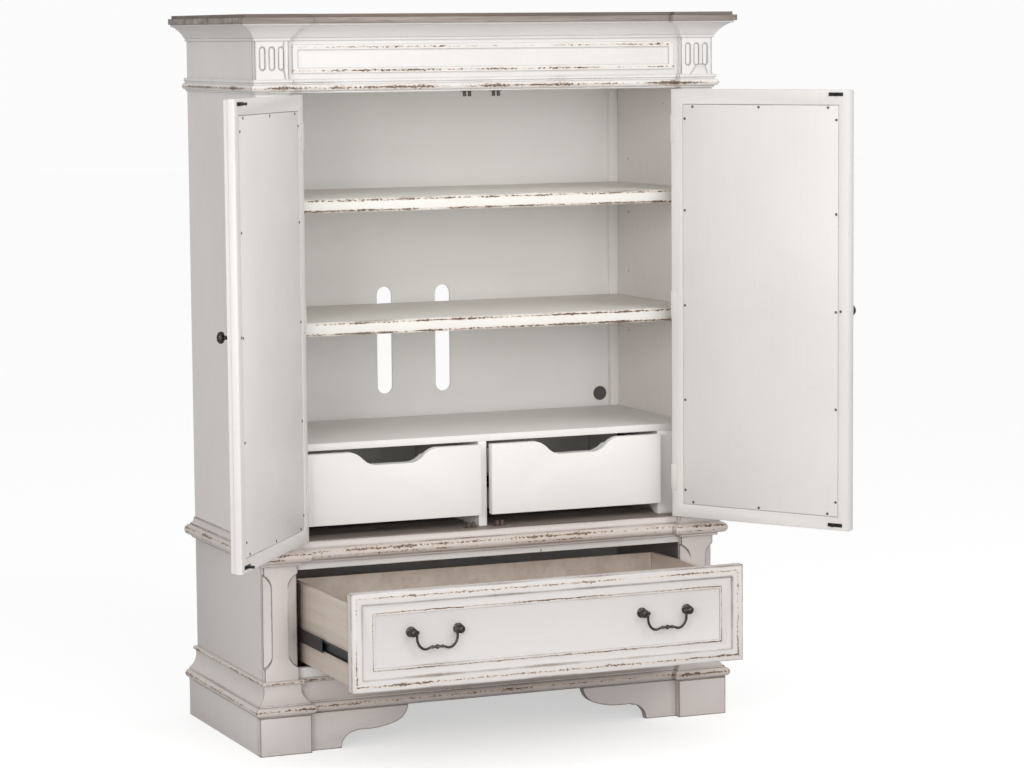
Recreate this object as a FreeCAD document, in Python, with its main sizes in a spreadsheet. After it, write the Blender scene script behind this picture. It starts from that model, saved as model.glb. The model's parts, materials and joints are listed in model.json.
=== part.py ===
"""Two-door armoire with open bays, two inner drawers and one wide lower drawer.

Frame: +Z up, +X to the right, the front faces -Y. The origin is the centre of the rear face at floor
level. Everything is drawn with the doors and drawers shut, then each moving group gets a Placement that
opens it to its stored position.
"""
import FreeCAD, Part
import os
import re

import Sketcher

V = FreeCAD.Vector
SIDES = (("left", -1), ("right", 1))
doc = FreeCAD.newDocument("armoire")
sizes = doc.addObject("Spreadsheet::Sheet", "sizes")
nodes = {}

DIMENSIONS = {
    # case: half width, board thickness, distance of the corner blocks and of the centre from the back
    "caseHalf": 549, "sideThick": 19, "blockFront": 495, "centreFront": 478, "boardThick": 20,
    "backThick": 5, "stileEdge": 472, "postEdge": 469, "fit": 1,
    # heights of the joints between the stacked parts
    "plinthTop": 86, "baseTop": 162, "waistLow": 419, "waistUnder": 441, "waistTop": 466,
    "neckLow": 1454, "neckTop": 1485, "friezeTop": 1574, "crownTop": 1606, "slabStep": 1619,
    "wholeHeight": 1626,
    # top slab overhang
    "slabOut": 43, "slabFront": 45, "slabInset": 8,
    # frieze panel and flutes
    "friezePanelHalf": 459, "friezePanelLow": 1497, "friezePanelHigh": 1560, "friezeRing": 12,
    "friezeRaise": 5, "fluteHalf": 6, "fluteLow": 1505, "fluteHigh": 1555, "fluteDepth": 1.6,
    "flutePitch": 21.5, "fluteMiddle": 510.5,
    # lower posts: width and depth of the stopped chamfers
    "chamferOuter": 18, "chamferInner": 24, "chamferDeep": 11, "chamferLow": 189, "chamferHigh": 400,
    "chamferRun": 34, "chamferReach": 100,
    # lower rails
    "railTopLow": 404, "railLowTop": 184,
    # plinth
    "plinthOut": 21, "plinthFront": 520, "plinthThick": 19, "plinthBlockEdge": 450,
    "scrollFoot": 374, "scrollStep": 338, "scrollShelf": 318, "scrollRise": 38, "scrollEnd": 214,
    "scrollBow": 30, "scrollLift": 11, "scrollNick": 2, "glueBlock": 40,
    # interior
    "shelfThick": 19, "nosing": 31, "nosingDeep": 20, "shelfFront": 450, "shelfBack": 21,
    "upperShelf": 1221, "lowerShelf": 948, "deckTop": 676, "deckThick": 16, "deckFront": 430,
    "battenWide": 22, "battenDeep": 15, "dividerHalf": 10, "fillerEdge": 440, "fillerThick": 12,
    "fillerFace": 18, "pinRadius": 3, "pinOut": 9, "pinIn": 8, "pinBack": 79, "pinFront": 415,
    "rowTop": 1278, "rowUpper": 1150, "rowMiddle": 1007, "rowLow": 863,
    # cable slots and vent in the back
    "slotMiddle": 74, "slotHalf": 18.75, "slotLow": 731, "slotHigh": 986, "ventX": 485,
    "ventZ": 705, "ventHole": 15.5, "ventLip": 17, "ventThick": 1.5,
    # doors
    "doorHinge": 464, "doorFree": 2, "doorFront": 487.6, "doorThick": 24.9, "doorLow": 470,
    "doorHigh": 1451.5, "layer": 9, "layerStep": 1.5, "stileWide": 58, "railWide": 70,
    "panelHingeMargin": 30, "panelFreeMargin": 26, "panelTopMargin": 34, "panelLowMargin": 30,
    "rabbet": 8, "panelThick": 7.5, "beadWide": 12, "beadProud": 3, "leftOpen": 126.7,
    "rightOpen": 122.3, "screwRadius": 3.2, "screwHead": 1.2, "screwIn": 6,
    "screwCorner": 21, "knobHeight": 961, "knobFree": 20,
    "plateHalf": 7, "plateTall": 28, "plateThick": 2.5,
    "strikeMiddle": 35, "strikeHalf": 18, "strikeTall": 8, "strikeThick": 1.5, "strikeTop": 1441,
    "strikeLow": 482, "prongHalf": 1.5, "prongTall": 6,
    "prongOut": 16,
    # hinges
    "barrel": 3.2, "notch": 3.7, "leafTall": 60, "leafThick": 1.4, "leafWide": 13, "hingeTop": 1361,
    "hingeMiddle": 961, "hingeLow": 561, "knuckle": 20, "knuckleGap": 0.3,
    # roller catches
    "rollerRadius": 4, "rollerTall": 11, "rollerApart": 6, "catchDepth": 444, "catchPlate": 2,
    "catchHalf": 12, "catchLip": 6, "catchTail": 14,
    # inner drawers: drawn shut, stored slightly ajar
    "ajar": 24, "innerLow": 494.5, "innerHigh": 655, "innerNear": 13, "innerFar": 436, "innerFace": 18,
    "scoopTop": 102, "scoopLow": 45, "scoopDeep": 31, "innerBoxNear": 23.2, "innerBoxFar": 426.8,
    "innerBoxLow": 502, "innerBoxHigh": 640, "innerBack": 60, "boxThick": 12, "bottomThick": 6,
    "trimDeep": 20,
    "innerSlideZ": 566, "innerSlideLong": 350,
    # wide drawer: drawn shut, stored pulled out
    "widePull": 342, "wideHalf": 464, "wideLow": 187, "wideHigh": 402, "wideFace": 22, "wideRaise": 5,
    "wideBand": 26, "wideBeadHalf": 413, "wideBeadLow": 232, "wideBeadHigh": 356, "wideBeadWide": 5,
    "wideBeadOut": 1.5, "wideBoxHalf": 452, "wideBoxLow": 195, "wideBoxHigh": 370, "wideBack": 40,
    "wideSlideZ": 258, "wideSlideLong": 415, "runnerTall": 44,
    # telescopic slide members, measured away from the fixed wall
    "slideDeep": 12.7, "slideSheet": 1.5, "outerHalf": 17, "middleHalf": 14, "innerHalf": 11,
    "outerLip": 10, "middleFrom": 3, "middleTo": 8.5, "innerFrom": 6.5, "slideFront": 20,
    # pulls
    "pullMiddle": 272, "pullHalf": 54.5, "pullZ": 311, "pullOut": 17, "rosette": 11.5, "rosetteThick": 4,
    "postNeck": 4.5, "postBall": 8, "bailRod": 3,
    "bailDrop": 36, "bailBend": 24, "bailBead": 6, "bailStub": 2, "stubRoom": 2.3,
    "bailEye": 12.6, "smallBead": 4.2, "beadApart": 10, "eyeLong": 6,
}


def fill_sheet():
    """Puts every driving dimension in the sheet as a plain number with an alias."""
    for row, (alias, number) in enumerate(DIMENSIONS.items(), start=1):
        sizes.set("A%d" % row, alias)
        sizes.set("B%d" % row, str(number))
        sizes.setAlias("B%d" % row, alias)
    doc.recompute()


def bound(text):
    """Turns 'caseHalf - 19' into an expression that reads the sheet."""
    return re.sub(r"[A-Za-z]\w*", lambda word: "sizes." + word.group(), str(text))


def number(text):
    """The present value of an expression in the sheet's aliases."""
    result = sizes.evalExpression(bound(text))
    return float(getattr(result, "Value", result))


def bind(thing, **formulas):
    """Binds properties of an object; a double underscore in a name stands for a dot."""
    for name, formula in formulas.items():
        thing.setExpression(name.replace("__", "."), bound(formula))


def add(kind, label):
    """A new object of the document with its own label."""
    thing = doc.addObject(kind, label)
    thing.Label = label
    return thing


def keep(label, thing):
    """Registers an object as a sub-part under its label."""
    thing.Label = label
    nodes[label] = thing
    return thing


def across(side, near, far):
    """The x limits of something between two distances from the centre plane, on one side."""
    return (near, far) if side > 0 else ("-(%s)" % far, "-(%s)" % near)


def at(side, distance):
    """The x of something at a distance from the centre plane, on one side."""
    return distance if side > 0 else "-(%s)" % distance


def block(label, x, y, z):
    """A box between pairs of limits on each axis."""
    thing = add("Part::Box", label)
    lengths = ["(%s) - (%s)" % (high, low) for low, high in (x, y, z)]
    bind(thing, Length=lengths[0], Width=lengths[1], Height=lengths[2],
         Placement__Base__x=x[0], Placement__Base__y=y[0], Placement__Base__z=z[0])
    return thing


def rod(label, radius, length, start, axis):
    """A cylinder from a start point along an axis."""
    thing = add("Part::Cylinder", label)
    thing.Placement = FreeCAD.Placement(V(), FreeCAD.Rotation(V(0, 0, 1), axis))
    bind(thing, Radius=radius, Height=length, Placement__Base__x=start[0],
         Placement__Base__y=start[1], Placement__Base__z=start[2])
    return thing


def ball(label, radius, middle):
    """A sphere about a point."""
    thing = add("Part::Sphere", label)
    bind(thing, Radius=radius, Placement__Base__x=middle[0], Placement__Base__y=middle[1],
         Placement__Base__z=middle[2])
    return thing


def fuse(label, things):
    """One solid from several."""
    thing = add("Part::MultiFuse", label)
    thing.Shapes = things
    thing.Refine = True
    return thing


def cut(label, base, tools):
    """The base with every tool taken away."""
    thing = add("Part::Cut", label)
    thing.Base = base
    thing.Tool = tools[0] if len(tools) == 1 else fuse(label + "_tools", tools)
    return thing


def group(label, things):
    """A set of separate solids, kept as one sub-part."""
    thing = add("Part::Compound", label)
    thing.Links = things
    return keep(label, thing)


def draw(sketch, corners):
    """Draws a closed outline: each corner is (u, w, bend) and a bend makes the next edge an arc."""
    points = [V(number(u), number(w), 0) for u, w, bend in corners]
    edges = []
    for index, (u, w, bend) in enumerate(corners):
        start, finish = points[index], points[(index + 1) % len(points)]
        edges.append(draw_edge(sketch, start, finish, bend))
    for index, (edge, first, last) in enumerate(edges):
        after, after_first, after_last = edges[(index + 1) % len(edges)]
        sketch.addConstraint(Sketcher.Constraint("Coincident", edge, last, after, after_first))
        pin_point(sketch, edge, first, corners[index][:2])


def draw_edge(sketch, start, finish, bend):
    """Adds one straight or round edge; returns its index and which of its ends come first and last.

    A bend is the arc's height over half its chord, positive to the left; a bend of 1 is a half circle,
    whose radius its two ends already fix.
    """
    if not bend:
        return sketch.addGeometry(Part.LineSegment(start, finish)), 1, 2
    chord = finish - start
    half = chord.Length / 2
    radius = half * (1 + bend * bend) / (2 * abs(bend))
    left = V(-chord.y, chord.x, 0).normalize()
    turn = 1 if bend > 0 else -1
    centre = (start + finish) * 0.5 + left * turn * (half * abs(bend) - radius)
    first, last = (finish, start) if bend > 0 else (start, finish)
    begin, end = [(corner - centre) for corner in (first, last)]
    circle = Part.Circle(centre, V(0, 0, 1), radius)
    edge = sketch.addGeometry(Part.ArcOfCircle(circle, circle.parameter(centre + begin),
                                               circle.parameter(centre + end)))
    if abs(bend) < 1:
        sketch.addConstraint(Sketcher.Constraint("Radius", edge, radius))
    return (edge, 2, 1) if bend > 0 else (edge, 1, 2)


def pin_point(sketch, edge, end, place):
    """Ties one end of an edge to its place in the sheet."""
    for kind, formula in zip(("DistanceX", "DistanceY"), place):
        row = sketch.addConstraint(Sketcher.Constraint(kind, -1, 1, edge, end, number(formula)))
        sketch.setExpression("Constraints[%d]" % row, bound(formula))


def sketch_on(body, plane, offset="0"):
    """An empty sketch on one of the body's own origin planes, moved along its normal."""
    sketch = body.newObject("Sketcher::SketchObject", body.Label + "_sketch")
    face = [item for item in body.Origin.OriginFeatures if item.Role == plane][0]
    sketch.AttachmentSupport = [(face, "")]
    sketch.MapMode = "FlatFace"
    bind(sketch, AttachmentOffset__Base__z=offset)
    return sketch


def prism(label, plane, start, length, *outlines):
    """A pad of one or more outlines; on XZ_Plane it runs forwards, towards -Y."""
    body = add("PartDesign::Body", label)
    sketch = sketch_on(body, plane, start)
    for corners in outlines:
        draw(sketch, corners)
    pad = body.newObject("PartDesign::Pad", label + "_pad")
    pad.Profile = sketch
    bind(pad, Length=length)
    return body


def turned(label, corners):
    """A solid turned about +Z from an outline of (radius, height, bend)."""
    body = add("PartDesign::Body", label)
    sketch = sketch_on(body, "XZ_Plane")
    draw(sketch, corners)
    turn = body.newObject("PartDesign::Revolution", label + "_turn")
    turn.Profile = sketch
    turn.ReferenceAxis = (sketch, ["V_Axis"])
    turn.Angle = 360
    return body


def rectangle(u0, u1, w0, w1):
    """Corners of a rectangle."""
    return [(u0, w0, 0), (u1, w0, 0), (u1, w1, 0), (u0, w1, 0)]


def frame_ring(label, half, low, high, margin, depth, length):
    """A picture-frame ring of one width all round, standing forward from a depth."""
    inner = rectangle("-(%s) + %s" % (half, margin), "%s - %s" % (half, margin),
                      "%s + %s" % (low, margin), "%s - %s" % (high, margin))
    return prism(label, "XZ_Plane", depth, length, rectangle("-(%s)" % half, half, low, high), inner)


def breakfront(out, front, edge):
    """Plan corners of the case grown by an overhang, from the left rear round to the right rear."""
    wide, step = "caseHalf + %s" % out, "%s - (%s)" % (edge, out)
    deep, centre = "-(blockFront + %s)" % front, "-(centreFront + %s)" % front
    right = [(wide, "0"), (wide, deep), (step, deep), (step, centre)]
    return [("-(%s)" % u, w) for u, w in right] + right[::-1]


def slab(label, low, high, out, front, edge):
    """A level board with the stepped plan of the case."""
    plan = [(u, w, 0) for u, w in breakfront(out, front, edge)]
    return prism(label, "XY_Plane", low, "(%s) - (%s)" % (high, low), plan)


def draw_path(sketch, corners):
    """Draws an open run of straight edges."""
    points = [V(number(u), number(w), 0) for u, w in corners]
    for index in range(len(points) - 1):
        edge = sketch.addGeometry(Part.LineSegment(points[index], points[index + 1]))
        pin_point(sketch, edge, 1, corners[index])
        pin_point(sketch, edge, 2, corners[index + 1])


def mitre_zones():
    """Three upright prisms that part a run at the mitres of the two front corners."""
    reach = "caseHalf + 200"
    ahead = "-(blockFront + 200)"
    returns = []
    for word, side in SIDES:
        near, far = at(side, "caseHalf"), at(side, reach)
        corners = [(near, "10", 0), (far, "10", 0), (far, ahead, 0), (near, "-blockFront", 0)]
        returns.append(prism("mitre_zone_" + word, "XY_Plane", "0", "wholeHeight", corners))
    front = [("-caseHalf", "-blockFront", 0), ("-(%s)" % reach, ahead, 0), (reach, ahead, 0),
             ("caseHalf", "-blockFront", 0), ("caseHalf", "-400", 0), ("-caseHalf", "-400", 0)]
    return returns + [prism("mitre_zone_front", "XY_Plane", "0", "wholeHeight", front)]


def moulding(label, corners, edge, zones):
    """Runs a section (overhang, height, bend) round the case, mitred into two returns and a front."""
    body = add("PartDesign::Body", label + "_run")
    section = sketch_on(body, "XZ_Plane")
    draw(section, [("-(caseHalf + %s)" % u, w, -bend) for u, w, bend in corners])
    path = sketch_on(body, "XY_Plane", corners[0][1])
    path.Label = label + "_path"
    draw_path(path, breakfront("0", "0", edge))
    run = body.newObject("PartDesign::AdditivePipe", label + "_pipe")
    run.Profile = section
    run.Spine = (path, [])
    run.Transition = "Right corner"
    pieces = []
    for zone in zones:
        piece = add("Part::Common", "%s_%s" % (label, zone.Label.split("_")[-1]))
        piece.Base = body
        piece.Tool = zone
        pieces.append(piece)
    return group(label, pieces)


def cornice():
    """Top slab, crown, frieze and neck."""
    lower = slab("slab_lower", "crownTop", "slabStep", "slabOut", "slabFront", "stileEdge")
    upper = slab("slab_upper", "slabStep", "wholeHeight", "slabOut - slabInset",
                 "slabFront - slabInset", "stileEdge")
    keep("top_slab", fuse("top_slab", [lower, upper]))
    zones = mitre_zones()
    moulding("crown_moulding", [
        ("0", "friezeTop - 6", 0), ("4", "friezeTop - 6", 0), ("4", "friezeTop", 0),
        ("6", "friezeTop + 1", 0.16), ("34", "crownTop - 5", 0), ("38", "crownTop - 5", 0),
        ("38", "crownTop", 0), ("0", "crownTop", 0)], "stileEdge", zones)
    moulding("neck_moulding", [
        ("0", "neckLow", 0), ("4", "neckLow", 0), ("4", "neckLow + 4", 0), ("8", "neckLow + 5", -0.7),
        ("8", "neckLow + 19", 0), ("6", "neckLow + 19", 0), ("6", "neckLow + 23", 0),
        ("8", "neckLow + 24", 0), ("8", "neckTop - 2", 0), ("6", "neckTop", 0),
        ("0", "neckTop", 0)], "stileEdge", zones)
    moulding("waist_moulding", [
        ("0", "waistLow", 0), ("9", "waistLow", 0), ("9", "waistLow + 6", 0),
        ("15", "waistLow + 7", -1), ("15", "waistLow + 31", 0), ("13", "waistLow + 31", 0),
        ("13", "waistLow + 34", 0.41), ("4", "waistTop - 4", 0), ("4", "waistTop", 0),
        ("0", "waistTop", 0)], "postEdge", zones)
    moulding("base_moulding", [
        ("0", "plinthTop", 0), ("22", "plinthTop", 0), ("22", "plinthTop + 3", 0),
        ("24", "plinthTop + 3", -0.7), ("24", "plinthTop + 22", 0), ("21", "plinthTop + 22", 0),
        ("21", "plinthTop + 26", 0.3), ("4", "baseTop - 12", 0), ("4", "baseTop - 9", 0),
        ("6", "baseTop - 9", -1), ("6", "baseTop", 0), ("0", "baseTop", 0)], "postEdge", zones)


def frieze():
    """Centre board with its panel, and a fluted block above each pilaster."""
    depth = ("-centreFront", "-(centreFront - boardThick)")
    keep("frieze_board", block("frieze_board", ("-stileEdge", "stileEdge"), depth,
                               ("neckLow", "crownTop")))
    keep("frieze_panel_moulding", frame_ring(
        "frieze_panel_moulding", "friezePanelHalf", "friezePanelLow", "friezePanelHigh",
        "friezeRing", "centreFront", "friezeRaise"))
    blocks = []
    for word, side in SIDES:
        blank = block("frieze_blank_" + word, across(side, "stileEdge", "caseHalf"),
                      ("-blockFront", "-(blockFront - boardThick)"), ("neckLow", "crownTop"))
        flutes = []
        for step in (-1, 0, 1):
            middle = "fluteMiddle + %d * flutePitch" % step
            near, far = across(side, "%s - fluteHalf" % middle, "%s + fluteHalf" % middle)
            low, high = "fluteLow + fluteHalf", "fluteHigh - fluteHalf"
            flutes.append([(near, low, -1), (far, low, 0), (far, high, -1), (near, high, 0)])
        tool = prism("flutes_" + word, "XZ_Plane", "blockFront - fluteDepth", "2 * fluteDepth", *flutes)
        blocks.append(cut("frieze_block_" + word, blank, [tool]))
    group("frieze_blocks", blocks)


def upper_case():
    """Sides with rows of pin holes, pilasters, ceiling, back panel and corner battens."""
    holes = [(row, depth) for row in ("rowTop", "rowUpper", "rowMiddle", "rowLow")
             for depth in ("pinBack", "pinFront")]
    sides, pilasters, battens = [], [], []
    for word, side in SIDES:
        blank = block("side_blank_" + word, across(side, "caseHalf - sideThick", "caseHalf"),
                      ("-(blockFront - boardThick)", "0"), ("waistTop", "crownTop"))
        inner = at(side, "caseHalf - sideThick")
        drills = [rod("pin_hole", "pinRadius", "pinIn", (inner, "-" + depth, row), V(side, 0, 0))
                  for row, depth in holes]
        sides.append(cut("upper_side_" + word, blank, drills))
        pilasters.append(block(
            "pilaster_" + word, across(side, "stileEdge", "caseHalf"),
            ("-blockFront", "-(blockFront - boardThick)"), ("waistTop", "neckLow")))
        battens.append(block(
            "batten", across(side, "caseHalf - sideThick - battenWide", "caseHalf - sideThick"),
            ("-(backThick + battenDeep)", "-backThick"), ("waistTop", "neckLow")))
    group("upper_sides", sides)
    group("pilasters", pilasters)
    group("corner_battens", battens)
    keep("ceiling_board", block(
        "ceiling_board", ("-(caseHalf - sideThick)", "caseHalf - sideThick"),
        ("-(centreFront - boardThick)", "-backThick"), ("neckLow", "neckLow + sideThick")))


def backs():
    """Thin backs of the two cases; the upper has two upright cable slots and a round vent."""
    inside = ("-(caseHalf - sideThick)", "caseHalf - sideThick")
    blank = block("back_blank", inside, ("-backThick", "0"), ("waistTop", "crownTop"))
    lower = block("lower_back", inside, ("-backThick", "0"), ("plinthTop", "waistUnder"))
    slots = []
    for word, side in SIDES:
        near, far = across(side, "slotMiddle - slotHalf", "slotMiddle + slotHalf")
        low, high = "slotLow + slotHalf", "slotHigh - slotHalf"
        slots.append([(near, low, -1), (far, low, 0), (far, high, -1), (near, high, 0)])
    tool = prism("back_slots", "XZ_Plane", "-backThick", "3 * backThick", *slots)
    hole = rod("vent_hole", "ventHole", "3 * backThick", ("ventX", "backThick", "ventZ"),
               V(0, -1, 0))
    group("back_panels", [cut("upper_back", blank, [tool, hole]), lower])
    plug = rod("vent_plug", "ventHole", "backThick", ("ventX", "0", "ventZ"), V(0, -1, 0))
    lip = rod("vent_lip", "ventLip", "ventThick", ("ventX", "-backThick", "ventZ"), V(0, -1, 0))
    keep("back_vent", fuse("back_vent", [plug, lip]))


def interior():
    """Shelves on pins, the deck over the inner drawers, their divider and side fillers."""
    wide = ("-(caseHalf - sideThick - fit)", "caseHalf - sideThick - fit")
    shelves = []
    for label, top in (("shelf_upper", "upperShelf"), ("shelf_lower", "lowerShelf")):
        board = block(label + "_board", wide, ("-(shelfFront - nosingDeep)", "-shelfBack"),
                      ("%s - shelfThick" % top, top))
        lip = block(label + "_nosing", wide, ("-shelfFront", "-(shelfFront - nosingDeep)"),
                    ("%s - nosing" % top, top))
        shelves.append(fuse(label, [board, lip]))
    group("shelves", shelves)
    pins = [rod("shelf_pin", "pinRadius", "pinOut",
                (at(side, "caseHalf - sideThick - pinOut"), "-" + depth,
                 "%s - shelfThick - pinRadius" % top), V(side, 0, 0))
            for top in ("upperShelf", "lowerShelf") for word, side in SIDES
            for depth in ("pinBack", "pinFront")]
    group("shelf_pins", pins)
    depth = ("-deckFront", "-shelfBack")
    keep("drawer_deck", block("drawer_deck", wide, depth, ("deckTop - deckThick", "deckTop")))
    low = ("waistTop", "deckTop - deckThick")
    keep("drawer_divider", block("drawer_divider", ("-dividerHalf", "dividerHalf"), depth, low))
    fillers = []
    for word, side in SIDES:
        face = block("filler_face", across(side, "fillerEdge", "caseHalf - sideThick"),
                     ("-deckFront", "-(deckFront - fillerFace)"), low)
        wall = block("filler_wall", across(side, "fillerEdge", "fillerEdge + fillerThick"),
                     ("-(deckFront - fillerFace)", "-shelfBack"), low)
        fillers += [face, wall]
    group("drawer_bay_fillers", fillers)


def roller_catches():
    """A pair of upright rollers on a plate for each door, under the ceiling and on the floor."""
    catches = []
    for word, side in SIDES:
        for base, up in (("neckLow", -1), ("waistTop", 1)):
            middle = at(side, "strikeMiddle")
            top = sorted_limits(base, up, "catchPlate")
            plate = block("catch_plate", ("%s - catchHalf" % middle, "%s + catchHalf" % middle),
                          ("-(catchDepth + catchLip)", "-(catchDepth - catchTail)"), top)
            rollers = [rod("catch_roller", "rollerRadius", "rollerTall",
                           ("%s + %d * rollerApart" % (middle, place), "-catchDepth",
                            "%s + %d * catchPlate" % (base, up)), V(0, 0, up)) for place in (-1, 1)]
            catches.append(fuse("catch", [plate] + rollers))
    group("roller_catches", catches)


def sorted_limits(base, up, thick):
    """Limits of a plate that stands up from, or hangs below, a level."""
    return (base, "%s + %s" % (base, thick)) if up > 0 else ("%s - %s" % (base, thick), base)


def lower_case():
    """Waist board, sides, chamfered posts, rails, floor and back of the lower case."""
    keep("waist_board", slab("waist_board", "waistUnder", "waistTop", "0", "0", "postEdge"))
    group("lower_sides", [block("lower_side_" + word, across(side, "caseHalf - sideThick", "caseHalf"),
                                ("-(blockFront - boardThick)", "0"), ("plinthTop", "waistUnder"))
                          for word, side in SIDES])
    group("lower_posts", [post(word, side) for word, side in SIDES])
    width, depth = ("-postEdge", "postEdge"), ("-centreFront", "-(centreFront - boardThick)")
    group("drawer_rails", [block("drawer_rail", width, depth, height) for height in (
        ("railTopLow", "waistUnder"), ("plinthTop", "railLowTop"))])
    inside = ("-(caseHalf - sideThick)", "caseHalf - sideThick")
    keep("case_floor", block("case_floor", inside, ("-(centreFront - boardThick)", "-backThick"),
                             ("baseTop - sideThick", "baseTop")))


def post(word, side):
    """Front post with a stopped chamfer down both edges, its ends curving out to the corner."""
    blank = block("post_blank_" + word, across(side, "postEdge", "caseHalf"),
                  ("-blockFront", "-(blockFront - boardThick)"), ("plinthTop", "waistUnder"))
    tools = []
    for name, edge, width, turn in (("outer", "caseHalf", "chamferOuter", 1),
                                    ("inner", "postEdge", "chamferInner", -1)):
        inward, outward = "%s - %d * %s" % (edge, turn, width), "%s + %d * 1" % (edge, turn)
        wedge = [(inward, "-(blockFront + 1)", 0), (outward, "-(blockFront + 1)", 0),
                 (outward, "-(blockFront - chamferDeep)", 0), (inward, "-blockFront", 0)]
        shape = [(outward, "chamferLow", 0.28 * turn), (inward, "chamferLow + chamferRun", 0),
                 (inward, "chamferHigh - chamferRun", 0.28 * turn), (outward, "chamferHigh", 0)]
        wedge, shape = [[("%d * (%s)" % (side, u), w, bend * side) for u, w, bend in corners]
                        for corners in (wedge, shape)]
        tool = add("Part::Common", "chamfer_%s_%s" % (name, word))
        tool.Base = prism("chamfer_wedge_%s_%s" % (name, word), "XY_Plane", "plinthTop",
                          "waistTop - plinthTop", wedge)
        tool.Tool = prism("chamfer_shape_%s_%s" % (name, word), "XZ_Plane",
                          "blockFront - chamferReach", "2 * chamferReach", shape)
        tools.append(tool)
    return cut("lower_post_" + word, blank, tools)


def plinth():
    """Corner blocks, scroll brackets, the skirt's three boards and the glue blocks behind them."""
    height, inner = ("0", "plinthTop"), "caseHalf + plinthOut - plinthThick"
    blocks, skirt, brackets, glue = [], [], [], []
    for word, side in SIDES:
        blocks.append(block("plinth_block", across(side, "plinthBlockEdge", "caseHalf + plinthOut"),
                            ("-plinthFront", "-(plinthFront - plinthThick)"), height))
        skirt.append(block("plinth_side", across(side, inner, "caseHalf + plinthOut"),
                           ("-(plinthFront - plinthThick)", "0"), height))
        scroll = [(inner, "0", 0), ("scrollFoot", "0", -0.41), ("scrollStep", "scrollRise - scrollNick", 0),
                  ("scrollStep", "scrollRise", 0), ("scrollShelf", "scrollRise", 0.1),
                  ("scrollEnd + scrollBow", "scrollRise + scrollLift", 0.3), ("scrollEnd", "plinthTop", 0),
                  (inner, "plinthTop", 0)]
        scroll = [("%d * (%s)" % (side, u), w, bend * side) for u, w, bend in scroll]
        brackets.append(prism("scroll_bracket_" + word, "XZ_Plane", "plinthFront - 2 * plinthThick",
                              "plinthThick", scroll))
        for depth in (("-(plinthFront - 2 * plinthThick)", "-(plinthFront - 2 * plinthThick - glueBlock)"),
                      ("-(plinthThick + glueBlock)", "-plinthThick")):
            glue.append(block("glue_block", across(side, inner + " - glueBlock", inner), depth, height))
    skirt.append(block("plinth_rear", ("-(%s)" % inner, inner), ("-plinthThick", "0"), height))
    group("plinth_blocks", blocks)
    group("plinth_skirt", skirt)
    group("scroll_brackets", brackets)
    group("glue_blocks", glue)


def swing(side, angle, thing):
    """Opens a door's piece about its hinge line."""
    pivot = V(side * number("doorHinge"), -number("doorFront"), 0)
    thing.Placement = FreeCAD.Placement(V(), FreeCAD.Rotation(V(0, 0, 1), side * number(angle)), pivot)


def from_door_face(near, far):
    """The y limits of something at two depths behind the door's front face, with the door shut."""
    return "-(doorFront - (%s))" % near, "-(doorFront - (%s))" % far


def door(word, side, angle):
    """A framed door drawn shut: two-layer frame, back panel, bead, screws, strikes, knob and hinges."""
    pieces = {
        "door_frame_": [door_frame(word, side)],
        "door_panel_": [block("panel", across(side, "doorFree + panelFreeMargin + fit",
                                              "doorHinge - panelHingeMargin - fit"),
                              from_door_face("doorThick - rabbet", "doorThick - rabbet + panelThick"),
                              ("doorLow + panelLowMargin + fit", "doorHigh - panelTopMargin - fit"))],
        "door_bead_": [door_bead(word, side)],
        "door_screws_": door_screws(side),
        "door_strikes_": door_strikes(side),
        "door_knob_": [door_knob(word, side)],
        "door_hinges_": [door_leaf(side, height) for height in ("hingeLow", "hingeMiddle", "hingeTop")],
    }
    for prefix, solids in pieces.items():
        swing(side, angle, group(prefix + word, solids))


def door_opening(side, margin, depth, label):
    """The block inside the door's frame, in from the opening's edge by a margin."""
    return block(label, across(side, "doorFree + stileWide + %s" % margin,
                               "doorHinge - stileWide - %s" % margin),
                 depth, ("doorLow + railWide + %s" % margin, "doorHigh - railWide - %s" % margin))


def door_frame(word, side):
    """Stiles and rails: a front layer a little smaller than the back one, rabbeted for the panel."""
    front = block("frame_front", across(side, "doorFree + layerStep", "doorHinge"),
                  from_door_face("0", "layer"), ("doorLow + layerStep", "doorHigh - layerStep"))
    back = block("frame_back", across(side, "doorFree", "doorHinge"),
                 from_door_face("layer", "doorThick"), ("doorLow", "doorHigh"))
    opening = door_opening(side, "0", from_door_face("-1", "doorThick"), "frame_opening")
    rabbet = block("frame_rabbet",
                   across(side, "doorFree + panelFreeMargin", "doorHinge - panelHingeMargin"),
                   from_door_face("doorThick - rabbet", "doorThick + 1"),
                   ("doorLow + panelLowMargin", "doorHigh - panelTopMargin"))
    notches = [rod("hinge_notch", "notch", "leafTall + 1",
                   (at(side, "doorHinge"), "-doorFront", "%s - leafTall / 2 - 0.5" % height), V(0, 0, 1))
               for height in ("hingeLow", "hingeMiddle", "hingeTop")]
    return cut("frame_cut_" + word, fuse("frame_blank_" + word, [front, back]),
               [opening, rabbet] + notches)


def door_bead(word, side):
    """Raised bead that lines the front of the frame's opening."""
    depth = from_door_face("-beadProud", "doorThick - rabbet")
    outer = door_opening(side, "0", depth, "bead_blank")
    inner = door_opening(side, "beadWide", from_door_face("-beadProud - 1", "doorThick - rabbet + 1"),
                         "bead_opening")
    return cut("bead_" + word, outer, [inner])


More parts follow.
